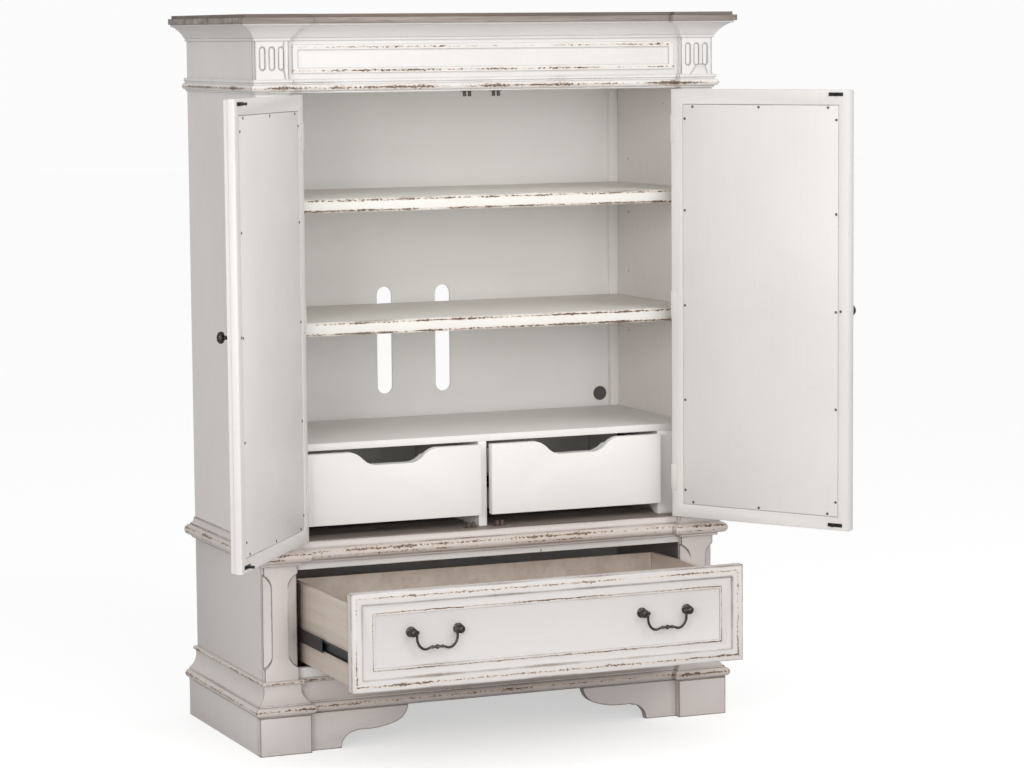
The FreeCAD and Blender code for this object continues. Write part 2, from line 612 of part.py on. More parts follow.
def door_screws(side):
    """Sixteen round heads round the edge of the back panel, and the one behind the knob."""
    top, low = "doorHigh - panelTopMargin - screwIn", "doorLow + panelLowMargin + screwIn"
    hinge, free = "doorHinge - panelHingeMargin - screwIn", "doorFree + panelFreeMargin + screwIn"
    middle = "(doorHinge + doorFree) / 2"
    rows = [(across_at, level) for level in (top, low)
            for across_at in (hinge + " - screwCorner", middle, free + " + screwCorner")]
    height = "(%s - (%s))" % (top, low)
    rows += [(column, "%s + %s * %s" % (low, height, share)) for column in (hinge, free)
             for share in (0.03, 0.26, 0.5, 0.74, 0.97)]
    depth = "-(doorFront - (doorThick - rabbet + panelThick))"
    heads = [rod("screw_head", "screwRadius", "screwHead", (at(side, u), depth, w), V(0, 1, 0))
             for u, w in rows]
    knob = rod("knob_screw", "screwRadius", "screwHead",
               (at(side, "doorFree + knobFree"), "-(doorFront - doorThick)", "knobHeight"), V(0, 1, 0))
    return heads + [knob]


def door_strikes(side):
    """A plate and a prong, top and bottom, that the rollers of the catches grip."""
    strikes = []
    for level in ("strikeTop", "strikeLow"):
        plate = block("strike_plate",
                      across(side, "strikeMiddle - strikeHalf", "strikeMiddle + strikeHalf"),
                      from_door_face("doorThick", "doorThick + strikeThick"),
                      ("%s - strikeTall / 2" % level, "%s + strikeTall / 2" % level))
        prong = block("strike_prong", across(side, "strikeMiddle - prongHalf", "strikeMiddle + prongHalf"),
                      from_door_face("doorThick + strikeThick", "doorThick + prongOut"),
                      ("%s - prongTall / 2" % level, "%s + prongTall / 2" % level))
        strikes.append(fuse("strike", [plate, prong]))
    return strikes


def door_knob(word, side):
    """Oval backplate and a turned knob on a short neck."""
    plate = prism("knob_plate_" + word, "XZ_Plane", "0", "plateThick", [
        ("-plateHalf", "-plateTall", -0.8), ("plateHalf", "-plateTall", -0.22),
        ("plateHalf", "plateTall", -0.8), ("-plateHalf", "plateTall", -0.22)])
    knob = turned("knob_turned_" + word, [
        ("0", "1", 0), ("6.5", "1", 0), ("6.5", "4", 0), ("4.5", "12", 0), ("9", "14", 0),
        ("13", "19", -0.5), ("9", "27", 0), ("6", "28", 0), ("0", "28", 0)])
    knob.Placement = FreeCAD.Placement(V(), FreeCAD.Rotation(V(0, 0, 1), V(0, -1, 0)))
    whole = fuse("knob_solid_" + word, [plate, knob])
    placed = add("Part::Compound", "knob_placed_" + word)
    placed.Links = [whole]
    bind(placed, Placement__Base__x=at(side, "doorFree + knobFree"), Placement__Base__y="-doorFront",
         Placement__Base__z="knobHeight")
    return placed


def door_leaf(side, height):
    """The door's half of a butt hinge: middle knuckle, edge leaf and a leaf on the inner face."""
    tall = ("%s - leafTall / 2" % height, "%s + leafTall / 2" % height)
    edge = block("edge_leaf", across(side, "doorHinge", "doorHinge + leafThick"),
                 from_door_face("notch", "doorThick + leafThick"), tall)
    face = block("face_leaf", across(side, "doorHinge - leafWide", "doorHinge"),
                 from_door_face("doorThick", "doorThick + leafThick"), tall)
    knuckle = rod("knuckle", "barrel", "knuckle - 2 * knuckleGap",
                  (at(side, "doorHinge"), "-doorFront", "%s - knuckle / 2 + knuckleGap" % height),
                  V(0, 0, 1))
    tie = block("knuckle_tie", across(side, "doorHinge", "doorHinge + leafThick"),
                from_door_face("0", "notch + 1"),
                ("%s - knuckle / 2 + knuckleGap" % height, "%s + knuckle / 2 - knuckleGap" % height))
    return fuse("door_leaf", [edge, face, knuckle, tie])


def case_hinges():
    """The case's halves of the hinges: two knuckles, a web and a leaf on the pilaster's edge."""
    leaves = []
    for word, side in SIDES:
        for height in ("hingeLow", "hingeMiddle", "hingeTop"):
            for low in ("%s - leafTall / 2" % height, "%s + knuckle / 2" % height):
                high = "%s + leafTall / 2 - knuckle / 2" % low
                knuckle = rod("knuckle", "barrel", "leafTall / 2 - knuckle / 2",
                              (at(side, "doorHinge"), "-doorFront", low), V(0, 0, 1))
                web = block("web", across(side, "doorHinge", "stileEdge"),
                            from_door_face("-leafThick", "0"), (low, high))
                leaf = block("leaf", across(side, "stileEdge - leafThick", "stileEdge"),
                             from_door_face("0", "leafWide"), (low, high))
                leaves.append(fuse("case_leaf", [knuckle, web, leaf]))
    group("case_hinges", leaves)


def channel(label, x, wall, half, level, y):
    """One slide member: a web with its wall towards an x, and a lip above and below it."""
    low, high = "%s - %s" % (level, half), "%s + %s" % (level, half)
    lips = [block("lip", x, y, (low, low + " + slideSheet")),
            block("lip", x, y, (high + " - slideSheet", high))]
    return fuse(label, [block("web", wall, y, (low, high))] + lips)


MEMBERS = {"fixed": ("0", "outerLip", "outerHalf", "0"),
           "middle": ("middleFrom", "middleTo", "middleHalf", "middleFrom"),
           "drawer": ("innerFrom", "slideDeep", "innerHalf", "slideDeep - slideSheet")}


def slide(label, side, wall, facing, level, long, front, shifts):
    """The members of one slide, each at its own shift; facing is the way the drawer lies."""
    members = {}
    for name, shift in shifts.items():
        near, far, half, web = MEMBERS[name]
        limits = [place(wall, facing, distance) for distance in (near, far)][::facing]
        sheet = [place(wall, facing, distance) for distance in (web, web + " + slideSheet")][::facing]
        y = ("-(%s) - %s" % (front, shift), "-(%s - %s) - %s" % (front, long, shift))
        members[name] = channel("%s_%s" % (label, name), across(side, *limits), across(side, *sheet),
                                half, level, y)
    return members


def place(wall, facing, distance):
    """A distance from the centre plane, measured from a wall the way that the drawer lies."""
    return "%s + %d * (%s)" % (wall, facing, distance)


def drawer_box(label, left, right, y, low, high):
    """Two sides, a back, a front and a bottom held inside them; returns the solids."""
    inside = ("%s + boxThick" % left, "%s - boxThick" % right)
    sides = [block("box_side", (left, inside[0]), y, (low, high)),
             block("box_side", (inside[1], right), y, (low, high))]
    back = block("box_back", inside, ("%s - boxThick" % y[1], y[1]), (low, high))
    front = block("box_front", inside, (y[0], "%s + boxThick" % y[0]), (low, high))
    base = ("%s + bottomThick" % low, "%s + 2 * bottomThick" % low)
    bottom = block("box_bottom", inside, ("%s + boxThick" % y[0], "%s - boxThick" % y[1]), base)
    return sides, back, front, bottom


def inner_drawer(word, side):
    """A small drawer whose front is scooped at the top for a hand."""
    middle = "(innerNear + innerFar) / 2"
    corners = [("innerNear", "innerLow", 0), ("innerFar", "innerLow", 0), ("innerFar", "innerHigh", 0),
               (middle + " + scoopTop", "innerHigh", -0.16),
               (middle + " + (scoopTop + scoopLow) / 2", "innerHigh - scoopDeep / 2", 0.16),
               (middle + " + scoopLow", "innerHigh - scoopDeep", 0),
               (middle + " - scoopLow", "innerHigh - scoopDeep", 0.16),
               (middle + " - (scoopTop + scoopLow) / 2", "innerHigh - scoopDeep / 2", -0.16),
               (middle + " - scoopTop", "innerHigh", 0), ("innerNear", "innerHigh", 0)]
    corners = [("%d * (%s)" % (side, u), w, bend * side) for u, w, bend in corners]
    face = prism("inner_front_" + word, "XZ_Plane", "deckFront - innerFace", "innerFace", corners)
    left, right = across(side, "innerBoxNear", "innerBoxFar")
    y = ("-(deckFront - innerFace)", "-innerBack")
    sides, back, front, bottom = drawer_box("inner", left, right, y, "innerBoxLow", "innerBoxHigh")
    trim = prism("inner_box_scoop_" + word, "XZ_Plane", "deckFront - innerFace - trimDeep",
                 "trimDeep + innerFace / 2", corners)
    front_common = add("Part::Common", "inner_box_front_" + word)
    front_common.Base = front
    front_common.Tool = trim
    for name, solids in (("front", [face]), ("box", sides + [back, front_common, bottom])):
        bind(group("inner_drawer_%s_%s" % (name, word), solids), Placement__Base__y="-ajar")
    slides = [slide(name, side, wall, facing, "innerSlideZ", "innerSlideLong", "deckFront - slideFront",
                    {"fixed": "0", "drawer": "ajar"})
              for name, wall, facing in (("near", "dividerHalf", 1), ("far", "fillerEdge", -1))]
    group("inner_slide_members_" + word, [members["drawer"] for members in slides])
    return [members["fixed"] for members in slides]


def wide_drawer():
    """The wide lower drawer with its moulded front, box, runners and slides."""
    face = block("wide_face", ("-wideHalf", "wideHalf"),
                 ("-(centreFront - wideRaise)", "-(centreFront - wideFace)"), ("wideLow", "wideHigh"))
    band = frame_ring("wide_band", "wideHalf", "wideLow", "wideHigh", "wideBand",
                      "centreFront - wideRaise", "wideRaise")
    bead = frame_ring("wide_bead", "wideBeadHalf", "wideBeadLow", "wideBeadHigh", "wideBeadWide",
                      "centreFront - wideRaise", "wideBeadOut")
    y = ("-(centreFront - wideFace)", "-wideBack")
    sides, back, front, bottom = drawer_box("wide", "-wideBoxHalf", "wideBoxHalf", y, "wideBoxLow",
                                            "wideBoxHigh")
    parts = {"wide_drawer_front": [fuse("wide_front", [face, band, bead])],
             "wide_drawer_box": sides + [back, front, bottom], "wide_drawer_posts": pull_posts()}
    for name, solids in parts.items():
        bind(group(name, solids), Placement__Base__y="-widePull")
    slides, runners = [], []
    for word, side in SIDES:
        runners.append(block("runner", across(side, "wideBoxHalf + slideDeep", "caseHalf - sideThick"),
                             ("-(centreFront - boardThick)", "-wideBack"),
                             ("wideSlideZ - runnerTall / 2", "wideSlideZ + runnerTall / 2")))
        slides.append(slide("wide_" + word, side, "wideBoxHalf + slideDeep", -1, "wideSlideZ",
                            "wideSlideLong", "centreFront - wideFace",
                            {"fixed": "0", "middle": "widePull / 2", "drawer": "widePull"}))
    group("drawer_runners", runners)
    for name in MEMBERS:
        group("wide_slides_" + name, [members[name] for members in slides])


def pull_posts():
    """Two ball posts with a rosette for each bail pull, bored for its ends."""
    posts = []
    face = "-(centreFront - wideRaise)"
    for word, side in SIDES:
        for hand in (-1, 1):
            x = "%s + %d * pullHalf" % (at(side, "pullMiddle"), hand)
            rosette = rod("rosette", "rosette", "rosetteThick", (x, face, "pullZ"), V(0, -1, 0))
            neck = rod("post_neck", "postNeck", "pullOut", (x, face, "pullZ"), V(0, -1, 0))
            head = ball("post_ball", "postBall", (x, face + " - pullOut", "pullZ"))
            bore = rod("post_bore", "stubRoom", "postBall + 0.5",
                       (x, face + " - pullOut", "pullZ"), V(-hand, 0, 0))
            posts.append(cut("post", fuse("post_blank", [rosette, neck, head]), [bore]))
    return posts


def bail(word, side):
    """A swinging bail: a bent rod with a large bead between two small ones."""
    half, drop = "(pullHalf - bailEye)", "bailDrop"
    body = add("PartDesign::Body", "bail_rod_" + word)
    path = sketch_on(body, "XZ_Plane")
    bend = "bailBend"
    spine = [("-" + half, "-bailRod", 0), ("-" + half, "-(%s - %s)" % (drop, bend), 0.414),
             ("-%s + %s" % (half, bend), "-" + drop, 0), ("%s - %s" % (half, bend), "-" + drop, 0.414),
             (half, "-(%s - %s)" % (drop, bend), 0), (half, "-bailRod", 0)]
    draw_spine(path, spine)
    ring = sketch_on(body, "XY_Plane", "-bailRod")
    ring.addGeometry(Part.Circle(V(-number(half), 0, 0), V(0, 0, 1), number("bailRod")))
    run = body.newObject("PartDesign::AdditivePipe", "bail_pipe_" + word)
    run.Profile = ring
    run.Spine = (path, [])
    beads = [diamond(middle, "-" + drop, big) for middle, big in (
        ("0", "bailBead"), ("-beadApart", "smallBead"), ("beadApart", "smallBead"))]
    ends = []
    for hand in (-1, 1):
        ends.append(rod("bail_eye", "bailRod + 1", "eyeLong", ("%d * (%s - 3.5)" % (hand, half), "0", "0"),
                        V(hand, 0, 0)))
        ends.append(rod("bail_stub", "bailStub", "bailEye - 2", ("%d * %s" % (hand, half), "0", "0"),
                        V(hand, 0, 0)))
    solid = fuse("bail_solid_" + word, [body] + sum(beads, []) + ends)
    piece = group("bail_" + word, [solid])
    bind(piece, Placement__Base__x=at(side, "pullMiddle"), Placement__Base__z="pullZ",
         Placement__Base__y="-(centreFront - wideRaise + pullOut + widePull)")


def diamond(middle, level, big):
    """A bead along the rod: two cones, base to base."""
    cones = []
    for hand in (-1, 1):
        cone = add("Part::Cone", "bead")
        cone.Placement = FreeCAD.Placement(V(), FreeCAD.Rotation(V(0, 0, 1), V(hand, 0, 0)))
        bind(cone, Radius1=big, Radius2="bailRod + 0.2", Height="%s - 1" % big,
             Placement__Base__x=middle, Placement__Base__z=level)
        cones.append(cone)
    return cones


def draw_spine(sketch, corners):
    """Draws an open run of straight and round edges that follow on from each other."""
    points = [V(number(u), number(w), 0) for u, w, bend in corners]
    edges = []
    for index in range(len(points) - 1):
        edges.append(draw_edge(sketch, points[index], points[index + 1], -corners[index][2]))
        pin_point(sketch, edges[-1][0], edges[-1][1], corners[index][:2])
    pin_point(sketch, edges[-1][0], edges[-1][2], corners[-1][:2])
    for (edge, first, last), (after, after_first, after_last) in zip(edges, edges[1:]):
        sketch.addConstraint(Sketcher.Constraint("Coincident", edge, last, after, after_first))


def check_document():
    """Stops if any object failed or any sub-part has no valid shape."""
    for thing in doc.Objects:
        if "Invalid" in thing.State or "Error" in thing.State:
            raise RuntimeError("%s is %s" % (thing.Label, thing.State))
    for label, thing in nodes.items():
        if thing.Shape.isNull() or not thing.Shape.isValid() or not thing.Shape.Solids:
            raise RuntimeError("%s has no valid shape" % label)


def write_parts():
    """Writes one STEP file for each sub-part."""
    os.makedirs("parts", exist_ok=True)
    for label, thing in nodes.items():
        thing.Shape.exportStep("parts/%s.step" % label)
        box = thing.Shape.BoundBox
        print("%-24s %2d solids %10.0f mm3  x %7.1f %7.1f  y %7.1f %7.1f  z %7.1f %7.1f" % (
            label, len(thing.Shape.Solids), thing.Shape.Volume, box.XMin, box.XMax, box.YMin, box.YMax,
            box.ZMin, box.ZMax))


fill_sheet()
cornice()
frieze()
upper_case()
backs()
interior()
roller_catches()
lower_case()
plinth()
case_hinges()
door("left", -1, "leftOpen")
door("right", 1, "rightOpen")
group("inner_slides_fixed", inner_drawer("left", -1) + inner_drawer("right", 1))
wide_drawer()
bail("left", -1)
bail("right", 1)
doc.recompute()
check_document()
write_parts()
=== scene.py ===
"""Looks of a painted, rubbed-through armoire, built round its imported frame.

Each sub-assembly is a class that makes its own pieces and dresses them. Finishes are frozen
dataclasses. Effects that several finishes share are shader node groups.
"""

import json
import logging
import math
from dataclasses import dataclass, field
from enum import Enum

import bmesh
import bpy
from mathutils import Matrix, Vector

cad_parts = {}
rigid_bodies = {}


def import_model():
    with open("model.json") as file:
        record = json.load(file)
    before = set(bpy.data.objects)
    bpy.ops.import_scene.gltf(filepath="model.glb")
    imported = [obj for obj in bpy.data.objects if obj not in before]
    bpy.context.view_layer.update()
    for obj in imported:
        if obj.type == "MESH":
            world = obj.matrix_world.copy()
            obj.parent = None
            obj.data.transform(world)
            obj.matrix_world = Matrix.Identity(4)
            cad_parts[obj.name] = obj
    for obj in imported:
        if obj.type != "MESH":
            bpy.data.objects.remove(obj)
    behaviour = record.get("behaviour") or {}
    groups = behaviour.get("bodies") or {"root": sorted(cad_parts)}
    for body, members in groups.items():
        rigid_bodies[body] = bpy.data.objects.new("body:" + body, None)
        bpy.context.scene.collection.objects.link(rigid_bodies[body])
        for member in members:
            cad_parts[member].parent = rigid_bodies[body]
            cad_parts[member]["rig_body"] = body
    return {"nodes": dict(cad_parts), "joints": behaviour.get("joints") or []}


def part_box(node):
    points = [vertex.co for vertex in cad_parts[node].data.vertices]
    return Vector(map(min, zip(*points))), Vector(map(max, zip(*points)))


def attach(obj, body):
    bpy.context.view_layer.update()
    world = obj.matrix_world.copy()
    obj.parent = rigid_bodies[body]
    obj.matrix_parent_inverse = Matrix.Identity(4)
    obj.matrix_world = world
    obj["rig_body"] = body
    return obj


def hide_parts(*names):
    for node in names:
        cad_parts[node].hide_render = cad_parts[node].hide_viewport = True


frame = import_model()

log = logging.getLogger("armoire")

Colour = tuple[float, float, float]
Socket = bpy.types.NodeSocket

MERGE = 1e-5
SEAM = 1e-6
FLAT = math.radians(0.5)
SHARP = math.radians(30.0)
NO_EDGE = 10.0


class Grain(Enum):
    """The way that brush marks or wood grain run, as how much each axis is squeezed."""

    UPRIGHT = (1.0, 1.0, 0.035)
    ACROSS = (0.035, 1.0, 1.0)
    DEEP = (1.0, 0.035, 1.0)


class Graph:
    """Lays out the nodes of one material, world or node group."""

    def __init__(self, tree: bpy.types.NodeTree) -> None:
        """Take hold of a tree.

        Args:
            tree: The node tree to fill.
        """
        self.tree = tree

    def node(self, kind: str, **settings: object) -> bpy.types.Node:
        """Add a node.

        Args:
            kind: The node's type without its ShaderNode prefix.
            **settings: Properties to set on it.

        Returns:
            The new node.
        """
        made = self.tree.nodes.new("ShaderNode" + kind)
        for name, value in settings.items():
            setattr(made, name, value)
        return made

    def feed(self, target: Socket, value: object) -> None:
        """Link a socket into another, or set its value.

        Args:
            target: The input to fill.
            value: A socket, number, colour or vector.
        """
        if isinstance(value, bpy.types.NodeSocket):
            self.tree.links.new(value, target)
        elif isinstance(value, tuple) and len(target.default_value) == 4 and len(value) == 3:
            target.default_value = (*value, 1.0)
        else:
            target.default_value = value

    def math(self, operation: str, *values: object, clamp: bool = False) -> Socket:
        """Combine numbers.

        Args:
            operation: The Math node's operation.
            *values: Its inputs, in order.
            clamp: Whether the result is kept between 0 and 1.

        Returns:
            The result.
        """
        made = self.node("Math", operation=operation, use_clamp=clamp)
        for target, value in zip(made.inputs, values):
            self.feed(target, value)
        return made.outputs[0]

    def vector(self, operation: str, *values: object, output: str = "Vector") -> Socket:
        """Combine vectors.

        Args:
            operation: The Vector Math node's operation.
            *values: Its inputs, in order.
            output: The name of the output to return.

        Returns:
            The result.
        """
        made = self.node("VectorMath", operation=operation)
        for target, value in zip(made.inputs, values):
            self.feed(target, value)
        return made.outputs[output]

    def mix(self, factor: object, first: object, second: object, blend: str = "MIX") -> Socket:
        """Mix two colours.

        Args:
            factor: The share of the second.
            first: The colour at 0.
            second: The colour at 1.
            blend: The Mix node's blend type.

        Returns:
            The mixed colour.
        """
        made = self.node("Mix", data_type="RGBA", blend_type=blend)
        self.feed(made.inputs["Factor"], factor)
        self.feed(made.inputs[6], first)
        self.feed(made.inputs[7], second)
        return made.outputs[2]

    def ramp(self, value: object, low: object, high: object, bottom: float = 0.0, top: float = 1.0) -> Socket:
        """Turn a span of a value into another span, with soft ends.

        Args:
            value: The input.
            low: Where the span starts.
            high: Where it ends.
            bottom: The result at low.
            top: The result at high.

        Returns:
            The result.
        """
        made = self.node("MapRange", interpolation_type="SMOOTHSTEP")
        for name, amount in (("Value", value), ("From Min", low), ("From Max", high),
                             ("To Min", bottom), ("To Max", top)):
            self.feed(made.inputs[name], amount)
        return made.outputs["Result"]

    def place(self) -> Socket:
        """Return the position on the object, in metres."""
        return self.node("TexCoord").outputs["Object"]

    def noise(self, where: Socket, scale: object, detail: float = 2.0, roughness: float = 0.5) -> Socket:
        """Add a noise.

        Args:
            where: The position to read it at.
            scale: Its scale.
            detail: Its octaves.
            roughness: The strength of the finer ones.

        Returns:
            The noise, from 0 to 1.
        """
        made = self.node("TexNoise")
        self.feed(made.inputs["Vector"], where)
        self.feed(made.inputs["Scale"], scale)
        made.inputs["Detail"].default_value = detail
        made.inputs["Roughness"].default_value = roughness
        return made.outputs["Fac"]


class Effect:
    """A shader node group that finishes share."""

    name = "effect"
    inputs: tuple[tuple[str, str, object], ...] = ()
    outputs: tuple[tuple[str, str], ...] = ()

    def __init__(self) -> None:
        """Build the group once."""
        self.tree = bpy.data.node_groups.new(self.name, "ShaderNodeTree")
        for label, kind, value in self.inputs:
            made = self.tree.interface.new_socket(label, in_out="INPUT", socket_type="NodeSocket" + kind)
            made.default_value = value
        for label, kind in self.outputs:
            self.tree.interface.new_socket(label, in_out="OUTPUT", socket_type="NodeSocket" + kind)
        graph = Graph(self.tree)
        entry = self.tree.nodes.new("NodeGroupInput")
        leave = self.tree.nodes.new("NodeGroupOutput")
        for label, value in self.lay(graph, entry.outputs).items():
            graph.feed(leave.inputs[label], value)

    def lay(self, graph: Graph, given: bpy.types.NodeOutputs) -> dict[str, Socket]:
        """Lay out the group.

        Args:
            graph: The group's tree.
            given: The group's inputs.

        Returns:
            The socket for each output.
        """
        raise NotImplementedError

    def use(self, graph: Graph, **values: object) -> bpy.types.NodeOutputs:
        """Place the group in a material.

        Args:
            graph: The material's tree.
            **values: Its inputs by name, with _ for a space.

        Returns:
            The group node's outputs.
        """
        made = graph.node("Group")
        made.node_tree = self.tree
        for label, value in values.items():
            graph.feed(made.inputs[label.replace("_", " ")], value)
        return made.outputs


class EdgeWear(Effect):
    """Paint rubbed off along edges, with a thin halo, and dark glaze left in a line on them."""

    name = "edge_wear"
    inputs = (("Reach", "Float", 0.004), ("Fold", "Float", 0.7), ("Wear", "Float", 0.0),
              ("Chip Scale", "Float", 300.0), ("Patch Scale", "Float", 8.0))
    outputs = (("Chips", "Float"), ("Halo", "Float"), ("Glaze", "Float"))

    def lay(self, graph: Graph, given: bpy.types.NodeOutputs) -> dict[str, Socket]:
        """Measure how close the nearest edge is by how far a rounded normal turns.

        Args:
            graph: The group's tree.
            given: The group's inputs.

        Returns:
            The socket for each output.
        """
        rounded = graph.node("Bevel", samples=6)
        graph.feed(rounded.inputs["Radius"], given["Reach"])
        flat = graph.node("NewGeometry").outputs["Normal"]
        facing = graph.vector("DOT_PRODUCT", rounded.outputs["Normal"], flat, output="Value")
        turn = graph.math("ARCCOSINE", graph.math("MINIMUM", facing, 1.0))
        near = graph.math("DIVIDE", turn, given["Fold"], clamp=True)
        where = graph.place()
        small = graph.noise(where, given["Chip Scale"], 4.0, 0.65)
        large = graph.noise(where, given["Patch Scale"], 3.0, 0.55)
        rough = graph.math("MULTIPLY_ADD", graph.math("SUBTRACT", small, 0.5), 2.6, near)
        score = graph.math("MULTIPLY_ADD", graph.math("SUBTRACT", large, 0.5), 2.4, rough)
        score = graph.math("ADD", score, given["Wear"])
        touched = graph.ramp(near, 0.15, 0.35)
        chips = graph.math("MULTIPLY", graph.ramp(score, 0.92, 1.02), touched)
        halo = graph.math("MULTIPLY", graph.ramp(score, 0.35, 0.9), touched)
        uneven = graph.math("MULTIPLY_ADD", graph.math("SUBTRACT", large, 0.5), 1.2, near)
        return {"Chips": chips, "Halo": halo, "Glaze": graph.ramp(uneven, 0.4, 0.85)}


class BrushMarks(Effect):
    """Long fine streaks from a brush, in tone and height."""

    name = "brush_marks"
    inputs = (("Stretch", "Vector", (1.0, 1.0, 0.035)), ("Scale", "Float", 240.0))
    outputs = (("Tone", "Float"), ("Cloud", "Float"))

    def lay(self, graph: Graph, given: bpy.types.NodeOutputs) -> dict[str, Socket]:
        """Stretch a fine noise along the strokes and a slow one for cloudy paint.

        Args:
            graph: The group's tree.
            given: The group's inputs.

        Returns:
            The socket for each output.
        """
        where = graph.place()
        along = graph.vector("MULTIPLY", where, given["Stretch"])
        fine = graph.noise(along, given["Scale"], 3.0, 0.6)
        weft = graph.noise(graph.vector("MULTIPLY", where, (0.09, 0.09, 1.0)), 420.0, 2.0, 0.5)
        tone = graph.math("MULTIPLY_ADD", weft, 0.4, graph.math("MULTIPLY", fine, 0.6))
        cloud = graph.noise(where, 2.4, 4.0, 0.55)
        return {"Tone": tone, "Cloud": cloud}


class Flecks(Effect):
    """Sparse round worm holes and short nicks."""

    name = "flecks"
    inputs = (("Spread", "Float", 9.0), ("Size", "Float", 0.014), ("Share", "Float", 0.2))
    outputs = (("Holes", "Float"), ("Nicks", "Float"))

    def lay(self, graph: Graph, given: bpy.types.NodeOutputs) -> dict[str, Socket]:
        """Keep the middle of a few cells only.

        Args:
            graph: The group's tree.
            given: The group's inputs.

        Returns:
            The socket for each output.
        """
        where = graph.place()
        results = {}
        for label, grow, odds in (("Holes", 1.0, 1.0), ("Nicks", 2.1, 0.8)):
            cells = graph.node("TexVoronoi")
            bent = graph.vector("ADD", where, (0.37 * grow, 0.11, 0.53 * grow))
            if label == "Nicks":
                bent = graph.vector("MULTIPLY", bent, (1.0, 1.0, 0.45))
            graph.feed(cells.inputs["Vector"], bent)
            graph.feed(cells.inputs["Scale"], graph.math("MULTIPLY", given["Spread"], grow))
            odd = graph.node("SeparateColor")
            graph.feed(odd.inputs[0], cells.outputs["Color"])
            kept = graph.math("LESS_THAN", odd.outputs[0], graph.math("MULTIPLY", given["Share"], odds))
            wide = graph.math("MULTIPLY", given["Size"], grow)
            mark = graph.ramp(cells.outputs["Distance"], wide, graph.math("MULTIPLY", wide, 1.5), 1.0, 0.0)
            results[label] = graph.math("MULTIPLY", kept, mark)
        return results


class BandWear(Effect):
    """Flecks of paint rubbed off along a level line or an upright rectangle, as on a moulding's crest."""

    name = "band_wear"
    inputs = (("Level", "Float", 0.0), ("Half", "Float", 0.006), ("Wear", "Float", 0.0),
              ("Scale", "Float", 330.0), ("Half Wide", "Float", NO_EDGE), ("Half Tall", "Float", 0.0))
    outputs = (("Chips", "Float"), ("Halo", "Float"))

    def lay(self, graph: Graph, given: bpy.types.NodeOutputs) -> dict[str, Socket]:
        """Gather long flecks round the crest, thicker in some stretches than in others.

        Args:
            graph: The group's tree.
            given: The group's inputs.

        Returns:
            The socket for each output.
        """
        where = graph.place()
        split = graph.node("SeparateXYZ")
        graph.feed(split.inputs[0], where)
        aside = graph.math("SUBTRACT", graph.math("ABSOLUTE", split.outputs["X"]), given["Half Wide"])
        above = graph.math("ABSOLUTE", graph.math("SUBTRACT", split.outputs["Z"], given["Level"]))
        beyond = graph.math("MAXIMUM", aside, graph.math("SUBTRACT", above, given["Half Tall"]))
        sway = graph.math("SUBTRACT", graph.noise(where, 26.0, 2.0), 0.5)
        off = graph.math("ABSOLUTE", graph.math("MULTIPLY_ADD", sway, 0.005, beyond))
        near = graph.math("SUBTRACT", 1.0, graph.math("DIVIDE", off, given["Half"], clamp=True))
        long = graph.vector("MULTIPLY", where, (0.55, 0.55, 0.9))
        fleck = graph.noise(long, given["Scale"], 4.0, 0.65)
        slow = graph.noise(where, 9.0, 4.0, 0.6)
        score = graph.math("MULTIPLY_ADD", graph.math("SUBTRACT", fleck, 0.5), 3.2, near)
        score = graph.math("MULTIPLY_ADD", graph.math("SUBTRACT", slow, 0.5), 2.2, score)
        score = graph.math("ADD", score, given["Wear"])
        inside = graph.ramp(near, 0.02, 0.2)
        return {"Chips": graph.math("MULTIPLY", inside, graph.ramp(score, 0.85, 0.95)),
                "Halo": graph.math("MULTIPLY", inside, graph.ramp(score, 0.2, 0.8))}


class WoodGrain(Effect):
    """Long figure and pores of wood."""

    name = "wood_grain"
    inputs = (("Stretch", "Vector", (0.035, 1.0, 1.0)), ("Scale", "Float", 60.0))
    outputs = (("Figure", "Float"), ("Pores", "Float"))

    def lay(self, graph: Graph, given: bpy.types.NodeOutputs) -> dict[str, Socket]:
        """Pull noise along the grain, twice, the finer one a little aside.

        Args:
            graph: The group's tree.
            given: The group's inputs.

        Returns:
            The socket for each output.
        """
        along = graph.vector("MULTIPLY", graph.place(), given["Stretch"])
        sway = graph.noise(along, graph.math("MULTIPLY", given["Scale"], 0.3), 2.0)
        aside = graph.vector("ADD", along, (0.02, 0.02, 0.02))
        figure = graph.noise(aside, given["Scale"], 5.0, 0.65)
        mixed = graph.math("MULTIPLY_ADD", sway, 0.6, graph.math("MULTIPLY", figure, 0.6))
        pores = graph.ramp(graph.noise(along, graph.math("MULTIPLY", given["Scale"], 9.0), 1.0), 0.62, 0.7)
        return {"Figure": mixed, "Pores": pores}


class Effects:
    """The effects, each built once."""

    def __init__(self) -> None:
        """Build every group."""
        self.edge = EdgeWear()
        self.brush = BrushMarks()
        self.flecks = Flecks()
        self.band = BandWear()
        self.grain = WoodGrain()


